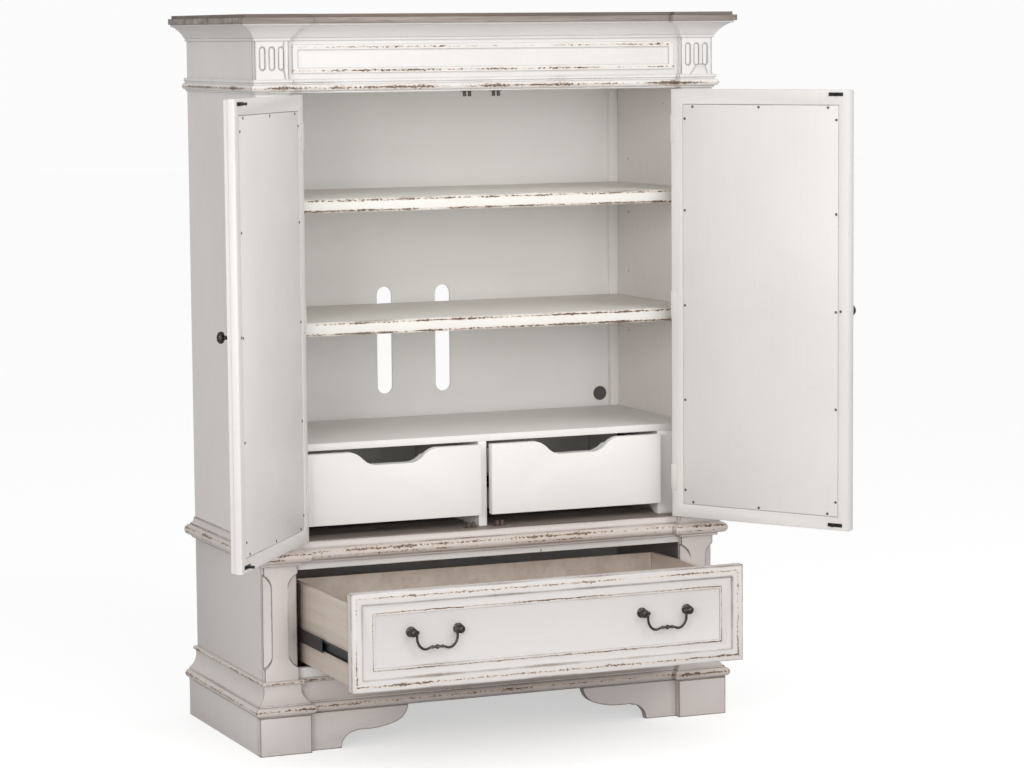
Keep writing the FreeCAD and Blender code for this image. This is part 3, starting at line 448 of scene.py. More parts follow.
@dataclass(frozen=True)
class Finish:
    """A material's name, its slot in the record and its gloss."""

    name: str
    slot: str
    roughness: float = 0.5

    def build(self, effects: Effects) -> bpy.types.Material:
        """Make the material.

        Args:
            effects: The shared node groups.

        Returns:
            The finished material.
        """
        made = bpy.data.materials.new(self.name)
        made.use_nodes = True
        graph = Graph(made.node_tree)
        shader = made.node_tree.nodes["Principled BSDF"]
        self.dress(graph, shader, effects)
        return made

    def dress(self, graph: Graph, shader: bpy.types.Node, effects: Effects) -> None:
        """Wire the finish into the shader.

        Args:
            graph: The material's tree.
            shader: Its Principled BSDF.
            effects: The shared node groups.
        """
        raise NotImplementedError

    def relief(self, graph: Graph, shader: bpy.types.Node, height: Socket, depth: float,
               rounding: float = 0.0) -> None:
        """Feed a height to the shader's normal, over edges that read as slightly rounded.

        Args:
            graph: The material's tree.
            shader: Its Principled BSDF.
            height: The height, from 0 to 1.
            depth: What 1 stands for, in metres.
            rounding: The radius that edges seem to have, in metres.
        """
        bump = graph.node("Bump")
        bump.inputs["Distance"].default_value = depth
        graph.feed(bump.inputs["Height"], height)
        if rounding:
            rounded = graph.node("Bevel", samples=4)
            rounded.inputs["Radius"].default_value = rounding
            graph.feed(bump.inputs["Normal"], rounded.outputs["Normal"])
        graph.feed(shader.inputs["Normal"], bump.outputs["Normal"])


@dataclass(frozen=True)
class Paint(Finish):
    """Brushed paint over brown wood, glazed in the corners and chipped at the edges.

    Each of levels is a worn line's height, half its width and how rubbed it is. Each of rings is a
    worn rectangle's middle height, half its line's width, how rubbed it is, and its half sizes.
    """

    colour: Colour = (0.81, 0.785, 0.765)
    shade: Colour = (0.67, 0.63, 0.605)
    glaze: Colour = (0.085, 0.055, 0.042)
    halo: Colour = (0.70, 0.55, 0.42)
    bare: Colour = (0.09, 0.062, 0.046)
    grain: Grain = Grain.UPRIGHT
    streaks: float = 0.16
    wear: float = -0.15
    reach: float = 0.004
    fold: float = 0.7
    glazing: float = 0.35
    flecks: float = 0.1
    levels: tuple[tuple[float, float, float], ...] = ()
    rings: tuple[tuple[float, float, float, float, float], ...] = ()

    def dress(self, graph: Graph, shader: bpy.types.Node, effects: Effects) -> None:
        """Lay paint, streaks, glaze and chips over each other.

        Args:
            graph: The material's tree.
            shader: Its Principled BSDF.
            effects: The shared node groups.
        """
        brush = effects.brush.use(graph, Stretch=self.grain.value)
        edge = effects.edge.use(graph, Reach=self.reach, Fold=self.fold, Wear=self.wear)
        marks = effects.flecks.use(graph, Share=self.flecks)
        tone = graph.ramp(brush["Tone"], 0.35, 0.75, 0.0, self.streaks)
        tone = graph.math("ADD", tone, graph.ramp(brush["Cloud"], 0.4, 0.75, 0.0, 0.3), clamp=True)
        painted = graph.mix(tone, self.colour, self.shade)
        chips = graph.math("MAXIMUM", edge["Chips"], marks["Holes"])
        chips = graph.math("MAXIMUM", chips, graph.math("MULTIPLY", marks["Nicks"], 0.7))
        halo = edge["Halo"]
        lines = tuple((*line, NO_EDGE, 0.0) for line in self.levels) + self.rings
        for level, half, rub, wide, tall in lines:
            rubbed = effects.band.use(graph, Level=level, Half=half, Wear=rub, Half_Wide=wide, Half_Tall=tall)
            chips = graph.math("MAXIMUM", chips, rubbed["Chips"])
            halo = graph.math("MAXIMUM", halo, rubbed["Halo"])
        haloed = graph.mix(graph.math("MULTIPLY", halo, 0.6), painted, self.halo)
        glazed = graph.mix(graph.math("MULTIPLY", edge["Glaze"], self.glazing), haloed, self.glaze)
        worn = graph.mix(brush["Tone"], self.bare, tuple(2.6 * part for part in self.bare))
        graph.feed(shader.inputs["Base Color"], graph.mix(chips, glazed, worn))
        gloss = graph.ramp(brush["Tone"], 0.3, 0.7, self.roughness - 0.05, self.roughness + 0.07)
        graph.feed(shader.inputs["Roughness"], graph.math("MULTIPLY_ADD", chips, 0.25, gloss))
        height = graph.math("MULTIPLY_ADD", chips, -1.0, graph.math("MULTIPLY", brush["Tone"], 0.12))
        self.relief(graph, shader, height, 0.0006, 0.0012)


@dataclass(frozen=True)
class Timber(Finish):
    """Stained or bare wood with grain, pores and rubbed edges, darker above its crest."""

    light: Colour = (0.36, 0.3, 0.255)
    dark: Colour = (0.16, 0.12, 0.095)
    grain: Grain = Grain.ACROSS
    scale: float = 60.0
    edge: Colour = (0.09, 0.06, 0.045)
    wear: float = -0.3
    glazing: float = 0.4
    crest: float = 9.0

    def dress(self, graph: Graph, shader: bpy.types.Node, effects: Effects) -> None:
        """Lay the figure, the pores and the darker edges over each other.

        Args:
            graph: The material's tree.
            shader: Its Principled BSDF.
            effects: The shared node groups.
        """
        wood = effects.grain.use(graph, Stretch=self.grain.value, Scale=self.scale)
        edge = effects.edge.use(graph, Reach=0.004, Wear=self.wear)
        figure = graph.ramp(wood["Figure"], 0.42, 0.78)
        stained = graph.mix(figure, self.light, self.dark)
        stained = graph.mix(graph.math("MULTIPLY", wood["Pores"], 0.5), stained, self.dark)
        split = graph.node("SeparateXYZ")
        graph.feed(split.inputs[0], graph.place())
        high = graph.ramp(split.outputs["Z"], self.crest - 0.001, self.crest + 0.001, 0.0, 0.75)
        stained = graph.mix(high, stained, self.dark)
        stained = graph.mix(graph.math("MULTIPLY", edge["Glaze"], self.glazing), stained, self.edge)
        graph.feed(shader.inputs["Base Color"], graph.mix(edge["Chips"], stained, self.edge))
        graph.feed(shader.inputs["Roughness"],
                   graph.ramp(wood["Figure"], 0.3, 0.8, self.roughness - 0.06, self.roughness + 0.1))
        height = graph.math("MULTIPLY_ADD", wood["Pores"], -0.6, wood["Figure"])
        self.relief(graph, shader, height, 0.0004, 0.0012)


@dataclass(frozen=True)
class Metal(Finish):
    """Dark metal, rubbed brighter on its edges, with a fine uneven surface."""

    colour: Colour = (0.05, 0.042, 0.038)
    bright: Colour = (0.36, 0.31, 0.27)
    metallic: float = 0.9
    rub: float = 0.8
    texture: float = 260.0

    def dress(self, graph: Graph, shader: bpy.types.Node, effects: Effects) -> None:
        """Lay rubbed edges and mottling over the metal.

        Args:
            graph: The material's tree.
            shader: Its Principled BSDF.
            effects: The shared node groups.
        """
        shader.inputs["Metallic"].default_value = self.metallic
        edge = effects.edge.use(graph, Reach=0.0015, Wear=-0.1)
        mottle = graph.noise(graph.place(), self.texture, 4.0, 0.6)
        toned = graph.mix(graph.ramp(mottle, 0.4, 0.75, 0.0, 0.3), self.colour, self.bright)
        rubbed = graph.math("MULTIPLY", edge["Glaze"], self.rub)
        graph.feed(shader.inputs["Base Color"], graph.mix(rubbed, toned, self.bright))
        graph.feed(shader.inputs["Roughness"],
                   graph.ramp(mottle, 0.3, 0.75, self.roughness - 0.08, self.roughness + 0.14))
        self.relief(graph, shader, mottle, 0.00012)


@dataclass(frozen=True)
class Moulded(Finish):
    """Moulded plastic with a faint spark-eroded surface."""

    colour: Colour = (0.45, 0.45, 0.45)

    def dress(self, graph: Graph, shader: bpy.types.Node, effects: Effects) -> None:
        """Lay fine texture and slight unevenness over the plastic.

        Args:
            graph: The material's tree.
            shader: Its Principled BSDF.
            effects: The shared node groups; not used here.
        """
        speckle = graph.noise(graph.place(), 900.0, 3.0, 0.6)
        darker = tuple(0.8 * part for part in self.colour)
        toned = graph.mix(graph.ramp(speckle, 0.35, 0.7), self.colour, darker)
        graph.feed(shader.inputs["Base Color"], toned)
        graph.feed(shader.inputs["Roughness"],
                   graph.ramp(speckle, 0.3, 0.7, self.roughness - 0.05, self.roughness + 0.1))
        self.relief(graph, shader, speckle, 0.00008)


# Front paint darkened as painted shade. It stands for the lower light on the lower case and for the drawers'
# shadow on the waist and base mouldings.
LOW_SHADED_PAINT: Colour = (0.66, 0.605, 0.58)
LOW_SHADED_STREAKS: Colour = (0.55, 0.49, 0.465)

FINISHES: tuple[Finish, ...] = (
    Paint("paint_front", "antique_white", 0.42),
    # Crown paint darker than the front paint: painted shade for the cove, which faces down.
    Paint("paint_crown", "antique_white", 0.42, colour=(0.745, 0.71, 0.69), shade=(0.62, 0.58, 0.56),
          grain=Grain.ACROSS, wear=-0.75, flecks=0.05),
    Paint("paint_neck", "antique_white", 0.42, grain=Grain.ACROSS, wear=-0.3, glazing=0.55, flecks=0.0,
          levels=((1.4655, 0.0065, 0.0),)),
    # Waist and base mouldings: front paint darkened as painted shade from the shadow under the drawers.
    Paint("paint_waist", "antique_white", 0.42, colour=LOW_SHADED_PAINT, shade=LOW_SHADED_STREAKS, grain=Grain.ACROSS,
          wear=-0.2, glazing=0.5, flecks=0.0, levels=((0.4445, 0.006, -0.12), (0.4345, 0.005, -0.3))),
    Paint("paint_base", "antique_white", 0.42, colour=LOW_SHADED_PAINT, shade=LOW_SHADED_STREAKS, grain=Grain.ACROSS, wear=-0.35,
          glazing=0.9, flecks=0.0, levels=((0.1, 0.007, -0.08), (0.1575, 0.0042, -0.05))),
    # Wide drawer front paint darker than the front paint: painted shade for the weaker light on that front.
    Paint("paint_drawer", "antique_white", 0.42, colour=(0.70, 0.665, 0.645), shade=(0.61, 0.565, 0.54),
          grain=Grain.ACROSS, wear=0.0, reach=0.008, glazing=0.75,
          rings=((0.2945, 0.005, -0.1, 0.4515, 0.095), (0.294, 0.0026, -0.02, 0.413, 0.062))),
    # Posts, plinth blocks and brackets: front paint darkened as painted shade for the lower light near the
    # floor.
    Paint("paint_post", "antique_white", 0.42, colour=LOW_SHADED_PAINT, shade=LOW_SHADED_STREAKS, wear=-0.1, fold=0.2,
          reach=0.0042, glazing=1.0),
    Paint("paint_frieze", "antique_white", 0.42, wear=-0.3, reach=0.005, fold=0.3, glazing=0.8),
    Paint("paint_ring", "antique_white", 0.42, grain=Grain.ACROSS, wear=-0.3, reach=0.003, glazing=0.45,
          levels=((1.5535, 0.0045, -0.25), (1.5025, 0.0045, -0.1))),
    Paint("paint_door", "antique_white", 0.42, wear=-0.55, glazing=0.2, flecks=0.03),
    Paint("paint_side", "side_paint", 0.45, colour=(0.79, 0.745, 0.725), shade=(0.66, 0.61, 0.59),
          streaks=0.24, wear=-0.35),
    # Lower sides and skirt: a darker copy of the side paint, as painted shade for the lower light there.
    Paint("paint_low_side_shaded", "side_paint", 0.45, colour=(0.68, 0.63, 0.61), shade=(0.56, 0.51, 0.49),
          streaks=0.24, wear=-0.35),
    # Interior paint: its own pale colour, made lighter still as painted light to brighten the inside of the
    # case.
    Paint("paint_inside", "interior_paint", 0.5, colour=(0.90, 0.88, 0.855), shade=(0.82, 0.795, 0.755),
          streaks=0.12, wear=-0.9, glazing=0.15, flecks=0.0),
    Paint("paint_shelf", "interior_paint", 0.5, colour=(0.87, 0.84, 0.795), shade=(0.78, 0.74, 0.69),
          grain=Grain.ACROSS, streaks=0.2, wear=0.0, reach=0.009, glazing=0.35, flecks=0.0,
          levels=((1.216, 0.0036, 0.1), (1.1935, 0.0036, 0.1), (0.943, 0.0036, 0.1), (0.9205, 0.0036, 0.1))),
    # Drawer lining paint: its own pale colour, made lighter still as painted light.
    Paint("paint_lining", "interior_paint", 0.5, colour=(0.86, 0.84, 0.81), shade=(0.75, 0.72, 0.68),
          grain=Grain.ACROSS, streaks=0.14, wear=-0.9, glazing=0.15, flecks=0.0),
    Timber("weathered_top", "weathered_top", 0.5, grain=Grain.ACROSS, light=(0.40, 0.345, 0.31),
           dark=(0.16, 0.125, 0.105), crest=1.6185),
    Timber("drawer_lining", "drawer_lining", 0.45, light=(0.68, 0.60, 0.53), dark=(0.57, 0.48, 0.41),
           edge=(0.35, 0.26, 0.2), wear=-0.9, glazing=0.2, grain=Grain.DEEP),
    Timber("raw_wood", "raw_wood", 0.65, light=(0.55, 0.43, 0.3), dark=(0.38, 0.27, 0.18),
           edge=(0.28, 0.18, 0.1), wear=-0.9, glazing=0.25),
    Metal("dark_bronze", "dark_bronze", 0.3),
    Metal("black_steel", "black_steel", 0.42, colour=(0.018, 0.018, 0.019), bright=(0.09, 0.09, 0.095),
          metallic=0.6, rub=0.4),
    Metal("screw_steel", "black_steel", 0.35, colour=(0.11, 0.105, 0.1), bright=(0.4, 0.39, 0.38)),
    Paint("painted_hinge", "painted_hinge", 0.4, colour=(0.76, 0.735, 0.69), wear=-0.1, reach=0.0015,
          flecks=0.0),
    Moulded("vent_plastic", "grey_plastic", 0.5, (0.1, 0.098, 0.095)),
    Moulded("roller_plastic", "roller_plastic", 0.4, (0.1, 0.07, 0.055)),
)


class Workshop:
    """Holds the materials, and finishes pieces and CAD nodes with them."""

    def __init__(self) -> None:
        """Build every material."""
        effects = Effects()
        self.finishes = {finish.name: finish for finish in FINISHES}
        self.materials = {finish.name: finish.build(effects) for finish in FINISHES}
        self.nodes: dict[str, bpy.types.Object] = frame["nodes"]

    @staticmethod
    def oval(place: Matrix, wide: float, tall: float) -> Matrix:
        """Return a place that also squeezes a round shape to an oval, across and up."""
        return place @ Matrix.Diagonal((wide, tall, 1.0, 1.0))

    def paint_node(self, node: str, finish: str) -> None:
        """Give a CAD node's own slots a finish.

        Args:
            node: The node's name.
            finish: The finish's name.
        """
        held = self.nodes[node]
        if not held.material_slots:
            held.data.materials.append(self.materials[finish])
        for place in held.material_slots:
            place.link = "OBJECT"
            place.material = self.materials[finish]

    def keep(self, name: str, mesh: bmesh.types.BMesh, body: str, finish: str, *stands_for: str,
             smooth: float = 32.0) -> bpy.types.Object:
        """Turn a bmesh into a piece that rides on a body.

        Args:
            name: The piece's name.
            mesh: Its shape, in place.
            body: The body that it rides on.
            finish: The finish's name.
            *stands_for: CAD nodes that it replaces.
            smooth: The steepest edge that is still shaded smooth, in degrees.

        Returns:
            The piece.
        """
        data = bpy.data.meshes.new(name)
        mesh.to_mesh(data)
        mesh.free()
        data.shade_smooth()
        data.set_sharp_from_angle(angle=math.radians(smooth))
        data.materials.append(self.materials[finish])
        piece = bpy.data.objects.new(name, data)
        bpy.context.scene.collection.objects.link(piece)
        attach(piece, body)
        if stands_for:
            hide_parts(*stands_for)
        log.info("%s: %d faces on %s", name, len(data.polygons), body)
        return piece

    def ease(self, node: str, finish: str, width: float = 0.0006, segments: int = 2,
             name: str = "") -> bpy.types.Object:
        """Replace a CAD node by a copy whose sharp edges are rounded over.

        Args:
            node: The node's name.
            finish: The finish's name.
            width: How far the rounding reaches, in metres.
            segments: The steps of the rounding.
            name: The piece's name, if not made from the node's.

        Returns:
            The piece.
        """
        mesh = bmesh.new()
        mesh.from_mesh(self.nodes[node].data)
        bmesh.ops.remove_doubles(mesh, verts=mesh.verts[:], dist=MERGE)
        bmesh.ops.dissolve_limit(mesh, angle_limit=FLAT, verts=mesh.verts[:], edges=mesh.edges[:],
                                 delimit={"NORMAL"})
        sharp = [edge for edge in mesh.edges
                 if len(edge.link_faces) == 2 and edge.calc_face_angle(0.0) > SHARP
                 and edge.calc_length() > 3 * width]
        bmesh.ops.bevel(mesh, geom=sharp, offset=width, offset_type="OFFSET", segments=segments,
                        profile=0.5, affect="EDGES", clamp_overlap=True, material=-1)
        low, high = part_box(node)
        for vert in mesh.verts:
            vert.co = Vector(min(max(at, least), most) for at, least, most in zip(vert.co, low, high))
        return self.keep(name or node + "_eased", mesh, self.nodes[node]["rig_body"], finish, node)


class Maker:
    """Small shapes that hardware is built up from. Each is added to a bmesh and put in place."""

    @staticmethod
    def turned(mesh: bmesh.types.BMesh, outline: tuple[tuple[float, float], ...], place: Matrix,
               steps: int = 32) -> list[bmesh.types.BMVert]:
        """Spin an outline of (radius, height) pairs round the local Z axis.

        Args:
            mesh: Where the shape is added.
            outline: The outline, from its low end to its high end.
            place: The shape's place.
            steps: Steps of the spin.

        Returns:
            The shape's vertices.
        """
        part = bmesh.new()
        verts = [part.verts.new((radius, 0.0, height)) for radius, height in outline]
        edges = [part.edges.new(pair) for pair in zip(verts, verts[1:])]
        bmesh.ops.spin(part, geom=verts + edges, cent=(0, 0, 0), axis=(0, 0, 1), angle=math.tau,
                       steps=steps, use_merge=True)
        bmesh.ops.remove_doubles(part, verts=part.verts[:], dist=SEAM)
        open_rims = [edge for edge in part.edges if edge.is_boundary]
        if open_rims:
            bmesh.ops.holes_fill(part, edges=open_rims, sides=0)
        bmesh.ops.recalc_face_normals(part, faces=part.faces[:])
        return Maker.join(mesh, part, place)

    @staticmethod
    def join(mesh: bmesh.types.BMesh, part: bmesh.types.BMesh, place: Matrix) -> list[bmesh.types.BMVert]:
        """Move a part into place and add it to a mesh.

        Args:
            mesh: Where it is added.
            part: The part, which is used up.
            place: Its place.

        Returns:
            Its vertices in the mesh.
        """
        bmesh.ops.transform(part, matrix=place, verts=part.verts[:])
        held = bpy.data.meshes.new("part")
        part.to_mesh(held)
        part.free()
        before = len(mesh.verts)
        mesh.from_mesh(held)
        bpy.data.meshes.remove(held)
        mesh.verts.ensure_lookup_table()
        return mesh.verts[before:]

    @staticmethod
    def tube(mesh: bmesh.types.BMesh, points: tuple[tuple[float, float, float, float], ...], place: Matrix,
             sides: int = 14) -> None:
        """Add a round rod along smooth points.

        Args:
            mesh: Where it is added.
            points: The rod's x, y, z and radius at each point.
            place: Where it goes.
            sides: How many sides the rod has.
        """
        curve = bpy.data.curves.new("rod", "CURVE")
        curve.dimensions = "3D"
        curve.bevel_depth = 1.0
        curve.bevel_resolution = max(1, (sides - 4) // 4)
        curve.use_fill_caps = True
        curve.resolution_u = 6
        run = curve.splines.new("NURBS")
        run.points.add(len(points) - 1)
        for point, (x, y, z, radius) in zip(run.points, points):
            point.co = (x, y, z, 1.0)
            point.radius = radius
        run.order_u = 3
        run.use_endpoint_u = True
        holder = bpy.data.objects.new("rod", curve)
        shape = bpy.data.meshes.new_from_object(holder)
        part = bmesh.new()
        part.from_mesh(shape)
        bpy.data.objects.remove(holder)
        bpy.data.curves.remove(curve)
        bpy.data.meshes.remove(shape)
        bmesh.ops.remove_doubles(part, verts=part.verts[:], dist=SEAM)
        bmesh.ops.recalc_face_normals(part, faces=part.faces[:])
        Maker.join(mesh, part, place)

    @staticmethod
    def solids(node: bpy.types.Object) -> list[tuple[Vector, Vector]]:
        """Find a CAD node's separate solids.

        Args:
            node: The node's object.

        Returns:
            Each solid's lowest and highest corner.
        """
        mesh = bmesh.new()
        mesh.from_mesh(node.data)
        bmesh.ops.remove_doubles(mesh, verts=mesh.verts[:], dist=MERGE)
        left, found = set(mesh.verts), []
        while left:
            front = [left.pop()]
            low, high = front[0].co.copy(), front[0].co.copy()
            while front:
                vert = front.pop()
                low = Vector(map(min, low, vert.co))
                high = Vector(map(max, high, vert.co))
                for edge in vert.link_edges:
                    other = edge.other_vert(vert)
                    if other in left:
                        left.remove(other)
                        front.append(other)
            found.append((low, high))
        mesh.free()
        return found


@dataclass(frozen=True)
class Lamp:
    """A soft square light: where it stands, what it faces, its side in metres and its watts."""

    name: str
    at: tuple[float, float, float]
    towards: tuple[float, float, float]
    power: float
    size: float = 2.4

    def build(self) -> None:
        """Add the light."""
        data = bpy.data.lights.new(self.name, "AREA")
        data.size = self.size
        data.energy = self.power
        lamp = bpy.data.objects.new(self.name, data)
        bpy.context.scene.collection.objects.link(lamp)
        lamp.location = self.at
        lamp.rotation_mode = "QUATERNION"
        lamp.rotation_quaternion = (Vector(self.towards) - Vector(self.at)).to_track_quat("-Z", "Y")


@dataclass
class Studio:
    """Floor, lights, background and camera."""

    eye: tuple[float, float, float] = (-2.8178, -7.3169, 1.5808)
    lens: float = 116.1
    yaw: float = 22.78
    dip: float = 6.065
    roll: float = -0.468
    floor_colour: Colour = (0.6, 0.6, 0.6)
    floor_glow: float = 0.55
    floor_half: float = 30.0
    surround_light: float = 0.64
    surround_seen: float = 0.97
    lamps: tuple[Lamp, ...] = (
        Lamp("key", (1.8, -4.6, 4.0), (0.0, -0.3, 1.2), 60.0),
        Lamp("front", (-0.6, -7.0, 1.8), (0.0, -0.3, 1.3), 85.0),
        Lamp("left", (-4.3, -5.2, 2.3), (0.0, -0.3, 1.3), 110.0))

    def build(self) -> None:
        """Set up everything round the object."""
        self.background()
        self.floor()
        for lamp in self.lamps:
            lamp.build()
        self.camera()
        bpy.context.scene.view_settings.view_transform = "Standard"

    def background(self) -> None:
        """A white surround, softer as light than it looks."""
        world = bpy.data.worlds.new("studio")
        bpy.context.scene.world = world
        world.use_nodes = True
        graph = Graph(world.node_tree)
        shine = world.node_tree.nodes["Background"]
        shine.inputs["Color"].default_value = (1.0, 1.0, 1.0, 1.0)
        seen = graph.node("LightPath").outputs["Is Camera Ray"]
        strength = graph.ramp(seen, 0.0, 1.0, self.surround_light, self.surround_seen)
        graph.feed(shine.inputs["Strength"], strength)

    def floor(self) -> None:
        """A large pale floor."""
        mesh = bmesh.new()
        bmesh.ops.create_grid(mesh, x_segments=1, y_segments=1, size=self.floor_half)
        data = bpy.data.meshes.new("floor")
        mesh.to_mesh(data)
        mesh.free()
        floor = bpy.data.objects.new("floor", data)
        bpy.context.scene.collection.objects.link(floor)
        paint = bpy.data.materials.new("floor")
        paint.use_nodes = True
        shader = paint.node_tree.nodes["Principled BSDF"]
        shader.inputs["Base Color"].default_value = (*self.floor_colour, 1.0)
        shader.inputs["Roughness"].default_value = 0.8
        shader.inputs["Emission Color"].default_value = (1.0, 1.0, 1.0, 1.0)
        graph = Graph(paint.node_tree)
        seen = graph.node("LightPath").outputs["Is Camera Ray"]
        graph.feed(shader.inputs["Emission Strength"], graph.ramp(seen, 0.0, 1.0, 0.0, self.floor_glow))
        data.materials.append(paint)

    def camera(self) -> None:
        """Stand the camera to the left of the object, looking slightly down."""
        data = bpy.data.cameras.new("camera")
        data.lens = self.lens
        data.sensor_width = 36.0
        data.clip_end = 200.0
        camera = bpy.data.objects.new("camera", data)
        bpy.context.scene.collection.objects.link(camera)
        turn = (Matrix.Rotation(-math.radians(self.yaw), 4, "Z")
                @ Matrix.Rotation(math.radians(90.0 - self.dip), 4, "X")
                @ Matrix.Rotation(math.radians(self.roll), 4, "Z"))
        camera.matrix_world = Matrix.Translation(self.eye) @ turn
        bpy.context.scene.camera = camera


@dataclass
class Case:
    """The boards and mouldings of the case."""

    shop: Workshop
    finishes: dict[str, str] = field(default_factory=lambda: {
        "top_slab": "weathered_top", "crown_moulding": "paint_crown", "neck_moulding": "paint_neck",
        "waist_moulding": "paint_waist", "base_moulding": "paint_base",
        "frieze_panel_moulding": "paint_ring", "back_panels": "paint_inside", "upper_sides": "paint_side",
        "back_vent": "vent_plastic", "shelf_pins": "black_steel", "roller_catches": "roller_plastic",
        "inner_slides_fixed": "black_steel", "wide_slides_fixed": "black_steel",
        "wide_slides_middle": "black_steel"})
    eased: dict[str, str] = field(default_factory=lambda: {
        "frieze_board": "paint_front", "frieze_blocks": "paint_frieze",
        "pilasters": "paint_front", "corner_battens": "paint_inside", "ceiling_board": "paint_inside",
        "shelves": "paint_shelf", "drawer_deck": "paint_lining", "drawer_divider": "paint_inside",
        "drawer_bay_fillers": "paint_inside", "waist_board": "weathered_top", "lower_sides": "paint_low_side_shaded",
        "lower_posts": "paint_post", "drawer_rails": "paint_front", "case_floor": "raw_wood",
        "plinth_blocks": "paint_post", "plinth_skirt": "paint_low_side_shaded", "scroll_brackets": "paint_post",
        "glue_blocks": "raw_wood", "drawer_runners": "raw_wood", "case_hinges": "painted_hinge"})

    def build(self) -> None:
        """Paint the mouldings and fittings, and ease the boards' edges."""
        for node, finish in self.finishes.items():
            self.shop.paint_node(node, finish)
        for node, finish in self.eased.items():
            self.shop.ease(node, finish)


@dataclass
class Door:
    """One door: frame, back panel, bead, screws, strikes, knob and hinges."""

    shop: Workshop
    word: str
    side: int
    hinge: float = 0.464
    front: float = 0.4876
    thick: float = 0.0249
    knob_in: float = 0.022
    knob_height: float = 0.961
    screw: float = 0.0031

    def __post_init__(self) -> None:
        """Work out how the door has swung open from its joint's range."""
        joint = next(one for one in frame["joints"] if one["name"] == "door_%s_hinge" % self.word)
        opened = -joint["range_deg"][0]
        pivot = Matrix.Translation((self.side * self.hinge, -self.front, 0.0))
        self.swing = pivot @ Matrix.Rotation(math.radians(self.side * opened), 4, "Z") @ pivot.inverted()

    def build(self) -> None:
        """Ease the door's boards and make its fittings."""
        for node, finish in (("frame", "paint_door"), ("panel", "paint_door"), ("bead", "paint_door"),
                             ("hinges", "painted_hinge")):
            self.shop.ease("door_%s_%s" % (node, self.word), finish)
        self.shop.ease("door_strikes_" + self.word, "black_steel", 0.0003)
        self.knob()
        self.screws()

    def knob(self) -> None:
        """A turned knob with a ringed face on an oval plate."""
        mesh = bmesh.new()
        out = Matrix.Translation((self.side * self.knob_in, -self.front, self.knob_height))
        out = self.swing @ out @ Matrix.Rotation(math.radians(90.0), 4, "X")
        plate = ((0.0, 0.0), (0.0135, 0.0), (0.0135, 0.0008), (0.0126, 0.0016), (0.0112, 0.0019),
                 (0.0104, 0.0024), (0.0, 0.0026))
        oval = self.shop.oval(out, 0.55, 2.05)
        Maker.turned(mesh, plate, oval, 48)
        Maker.turned(mesh, ((0.0, 0.001), (0.0062, 0.001), (0.0066, 0.0032), (0.0052, 0.0045),
                            (0.0043, 0.008), (0.0044, 0.0115), (0.007, 0.0132), (0.0112, 0.0152),
                            (0.0129, 0.0182), (0.0128, 0.0214), (0.0112, 0.0244), (0.0094, 0.0258),
                            (0.0088, 0.0254), (0.0079, 0.0256), (0.0052, 0.0274), (0.002, 0.0279),
                            (0.0, 0.028)), out, 40)
        self.shop.keep("knob_" + self.word, mesh, "door_" + self.word, "dark_bronze",
                       "door_knob_" + self.word, smooth=50.0)

    def screws(self) -> None:
        """Pan-head screws with a driver recess, on the inner face."""
        mesh = bmesh.new()
        inward = self.swing @ Matrix.Rotation(math.radians(-90.0), 4, "X")
        turn = inward.to_3x3().to_4x4()
        dome = ((0.0, 0.0), (self.screw, 0.0), (self.screw, 0.0003), (self.screw * 0.9, 0.0009),
                (self.screw * 0.62, 0.0013), (self.screw * 0.36, 0.0014), (self.screw * 0.3, 0.0007),
                (0.0, 0.0005))
        rise = (turn @ Vector((0.0, 0.0, 1.0))).normalized()
        for low, high in Maker.solids(self.shop.nodes["door_screws_" + self.word]):
            foot = (low + high) / 2 - rise * 0.0006
            Maker.turned(mesh, dome, Matrix.Translation(foot) @ turn, 14)
        self.shop.keep("screws_" + self.word, mesh, "door_" + self.word, "screw_steel",
                       "door_screws_" + self.word, smooth=50.0)


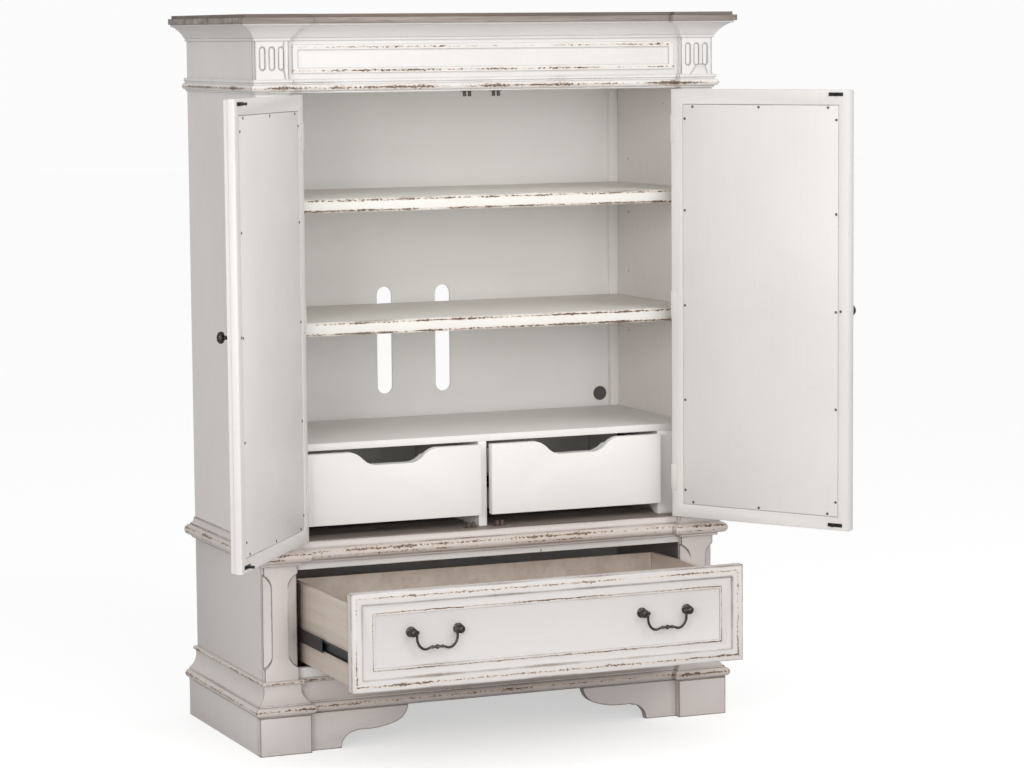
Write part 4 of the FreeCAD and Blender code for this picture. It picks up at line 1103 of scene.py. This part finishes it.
@dataclass
class BailPull:
    """A swinging bail between two ribbed ball posts."""

    shop: Workshop
    word: str
    middle: float
    level: float = 0.311
    face: float = -0.815
    out: float = 0.017
    half: float = 0.0545
    ball: float = 0.0098
    ribs: int = 9
    groove: float = 0.09
    twist: float = 0.9
    squat: float = 0.86

    def posts(self, mesh: bmesh.types.BMesh) -> None:
        """Add both posts to a mesh.

        Args:
            mesh: Where they are added.
        """
        forward = Matrix.Rotation(math.radians(90.0), 4, "X")
        for hand in (-1, 1):
            foot = Matrix.Translation((self.middle + hand * self.half, self.face, self.level)) @ forward
            Maker.turned(mesh, ((0.0, 0.0), (0.0115, 0.0), (0.0115, 0.0012), (0.0104, 0.002),
                                (0.0088, 0.0022), (0.0078, 0.0034), (0.0056, 0.0038), (0.0048, 0.0056),
                                (0.0044, 0.0105), (0.0, 0.0105)), foot, 32)
            globe = bmesh.new()
            bmesh.ops.create_uvsphere(globe, u_segments=54, v_segments=20, radius=self.ball)
            for vert in globe.verts:
                reach = math.hypot(vert.co.x, vert.co.y)
                turn = math.atan2(vert.co.y, vert.co.x) + self.twist * hand * vert.co.z / self.ball
                valley = 1.0 - abs(math.cos(self.ribs * turn / 2)) ** 0.6
                shrink = 1.0 - self.groove * valley * reach / self.ball
                vert.co.x *= shrink
                vert.co.y *= shrink
                vert.co.z *= self.squat
            Maker.join(mesh, globe, foot @ Matrix.Translation((0.0, 0.0, self.out - 0.0008)))

    def bail(self) -> None:
        """A bent rod that sags in two curves to a bead group in its middle."""
        mesh = bmesh.new()
        place = Matrix.Translation((self.middle, self.face - self.out, self.level))
        side = ((0.0455, 0.0, 0.0005, 0.0026), (0.0465, 0.0, -0.006, 0.0029), (0.0468, 0.0, -0.016, 0.003),
                (0.0435, 0.0, -0.027, 0.003), (0.0345, 0.0, -0.0365, 0.0029), (0.0245, 0.0, -0.0378, 0.0028),
                (0.0165, 0.0, -0.0342, 0.0027), (0.0095, 0.0, -0.0332, 0.0027))
        points = tuple((-x, y, z, radius) for x, y, z, radius in side) + tuple(reversed(side))
        Maker.tube(mesh, points, place)
        along = Matrix.Rotation(math.radians(90.0), 4, "Y")
        for at, big, long in ((0.0, 0.0058, 0.0068), (-0.0118, 0.0042, 0.0036), (0.0118, 0.0042, 0.0036)):
            bead = ((0.0, -long), (0.0029, -long), (0.0034, -long * 0.72), (0.0029, -long * 0.58),
                    (big * 0.86, -long * 0.22), (big, 0.0), (big * 0.86, long * 0.22), (0.0029, long * 0.58),
                    (0.0034, long * 0.72), (0.0029, long), (0.0, long))
            Maker.turned(mesh, bead, place @ Matrix.Translation((at, 0.0, -0.0335)) @ along, 28)
        for hand in (-1, 1):
            eye = place @ Matrix.Translation((hand * 0.0452, 0.0, 0.0)) @ along
            Maker.turned(mesh, ((0.0, -0.0032), (0.0034, -0.0032), (0.0041, -0.0022), (0.0043, 0.0),
                                (0.0041, 0.0022), (0.0034, 0.0032), (0.0, 0.0032)), eye, 24)
        self.shop.keep("bail_rod_" + self.word, mesh, "pull_bail_" + self.word, "dark_bronze",
                       "bail_" + self.word, smooth=50.0)


@dataclass
class Drawers:
    """The two inner drawers and the wide one."""

    shop: Workshop

    def build(self) -> None:
        """Ease the drawers' boards and paint their slides."""
        for word in ("left", "right"):
            self.shop.ease("inner_drawer_front_" + word, "paint_lining")
            self.shop.ease("inner_drawer_box_" + word, "paint_lining")
            self.shop.paint_node("inner_slide_members_" + word, "black_steel")
        self.shop.ease("wide_drawer_front", "paint_drawer")
        self.shop.ease("wide_drawer_box", "drawer_lining")
        self.shop.paint_node("wide_slides_drawer", "black_steel")
        posts = bmesh.new()
        for word, middle in (("left", -0.272), ("right", 0.272)):
            pull = BailPull(self.shop, word, middle)
            pull.posts(posts)
            pull.bail()
        self.shop.keep("pull_posts", posts, "wide_drawer", "dark_bronze", "wide_drawer_posts", smooth=50.0)


def main() -> None:
    """Build the studio and the armoire's sub-assemblies in order."""
    logging.basicConfig(level=logging.INFO, format="%(name)s: %(message)s")
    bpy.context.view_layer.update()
    Studio().build()
    shop = Workshop()
    Case(shop).build()
    for word, side in (("left", -1), ("right", 1)):
        Door(shop, word, side).build()
    Drawers(shop).build()


if __name__ == "__main__":
    main()
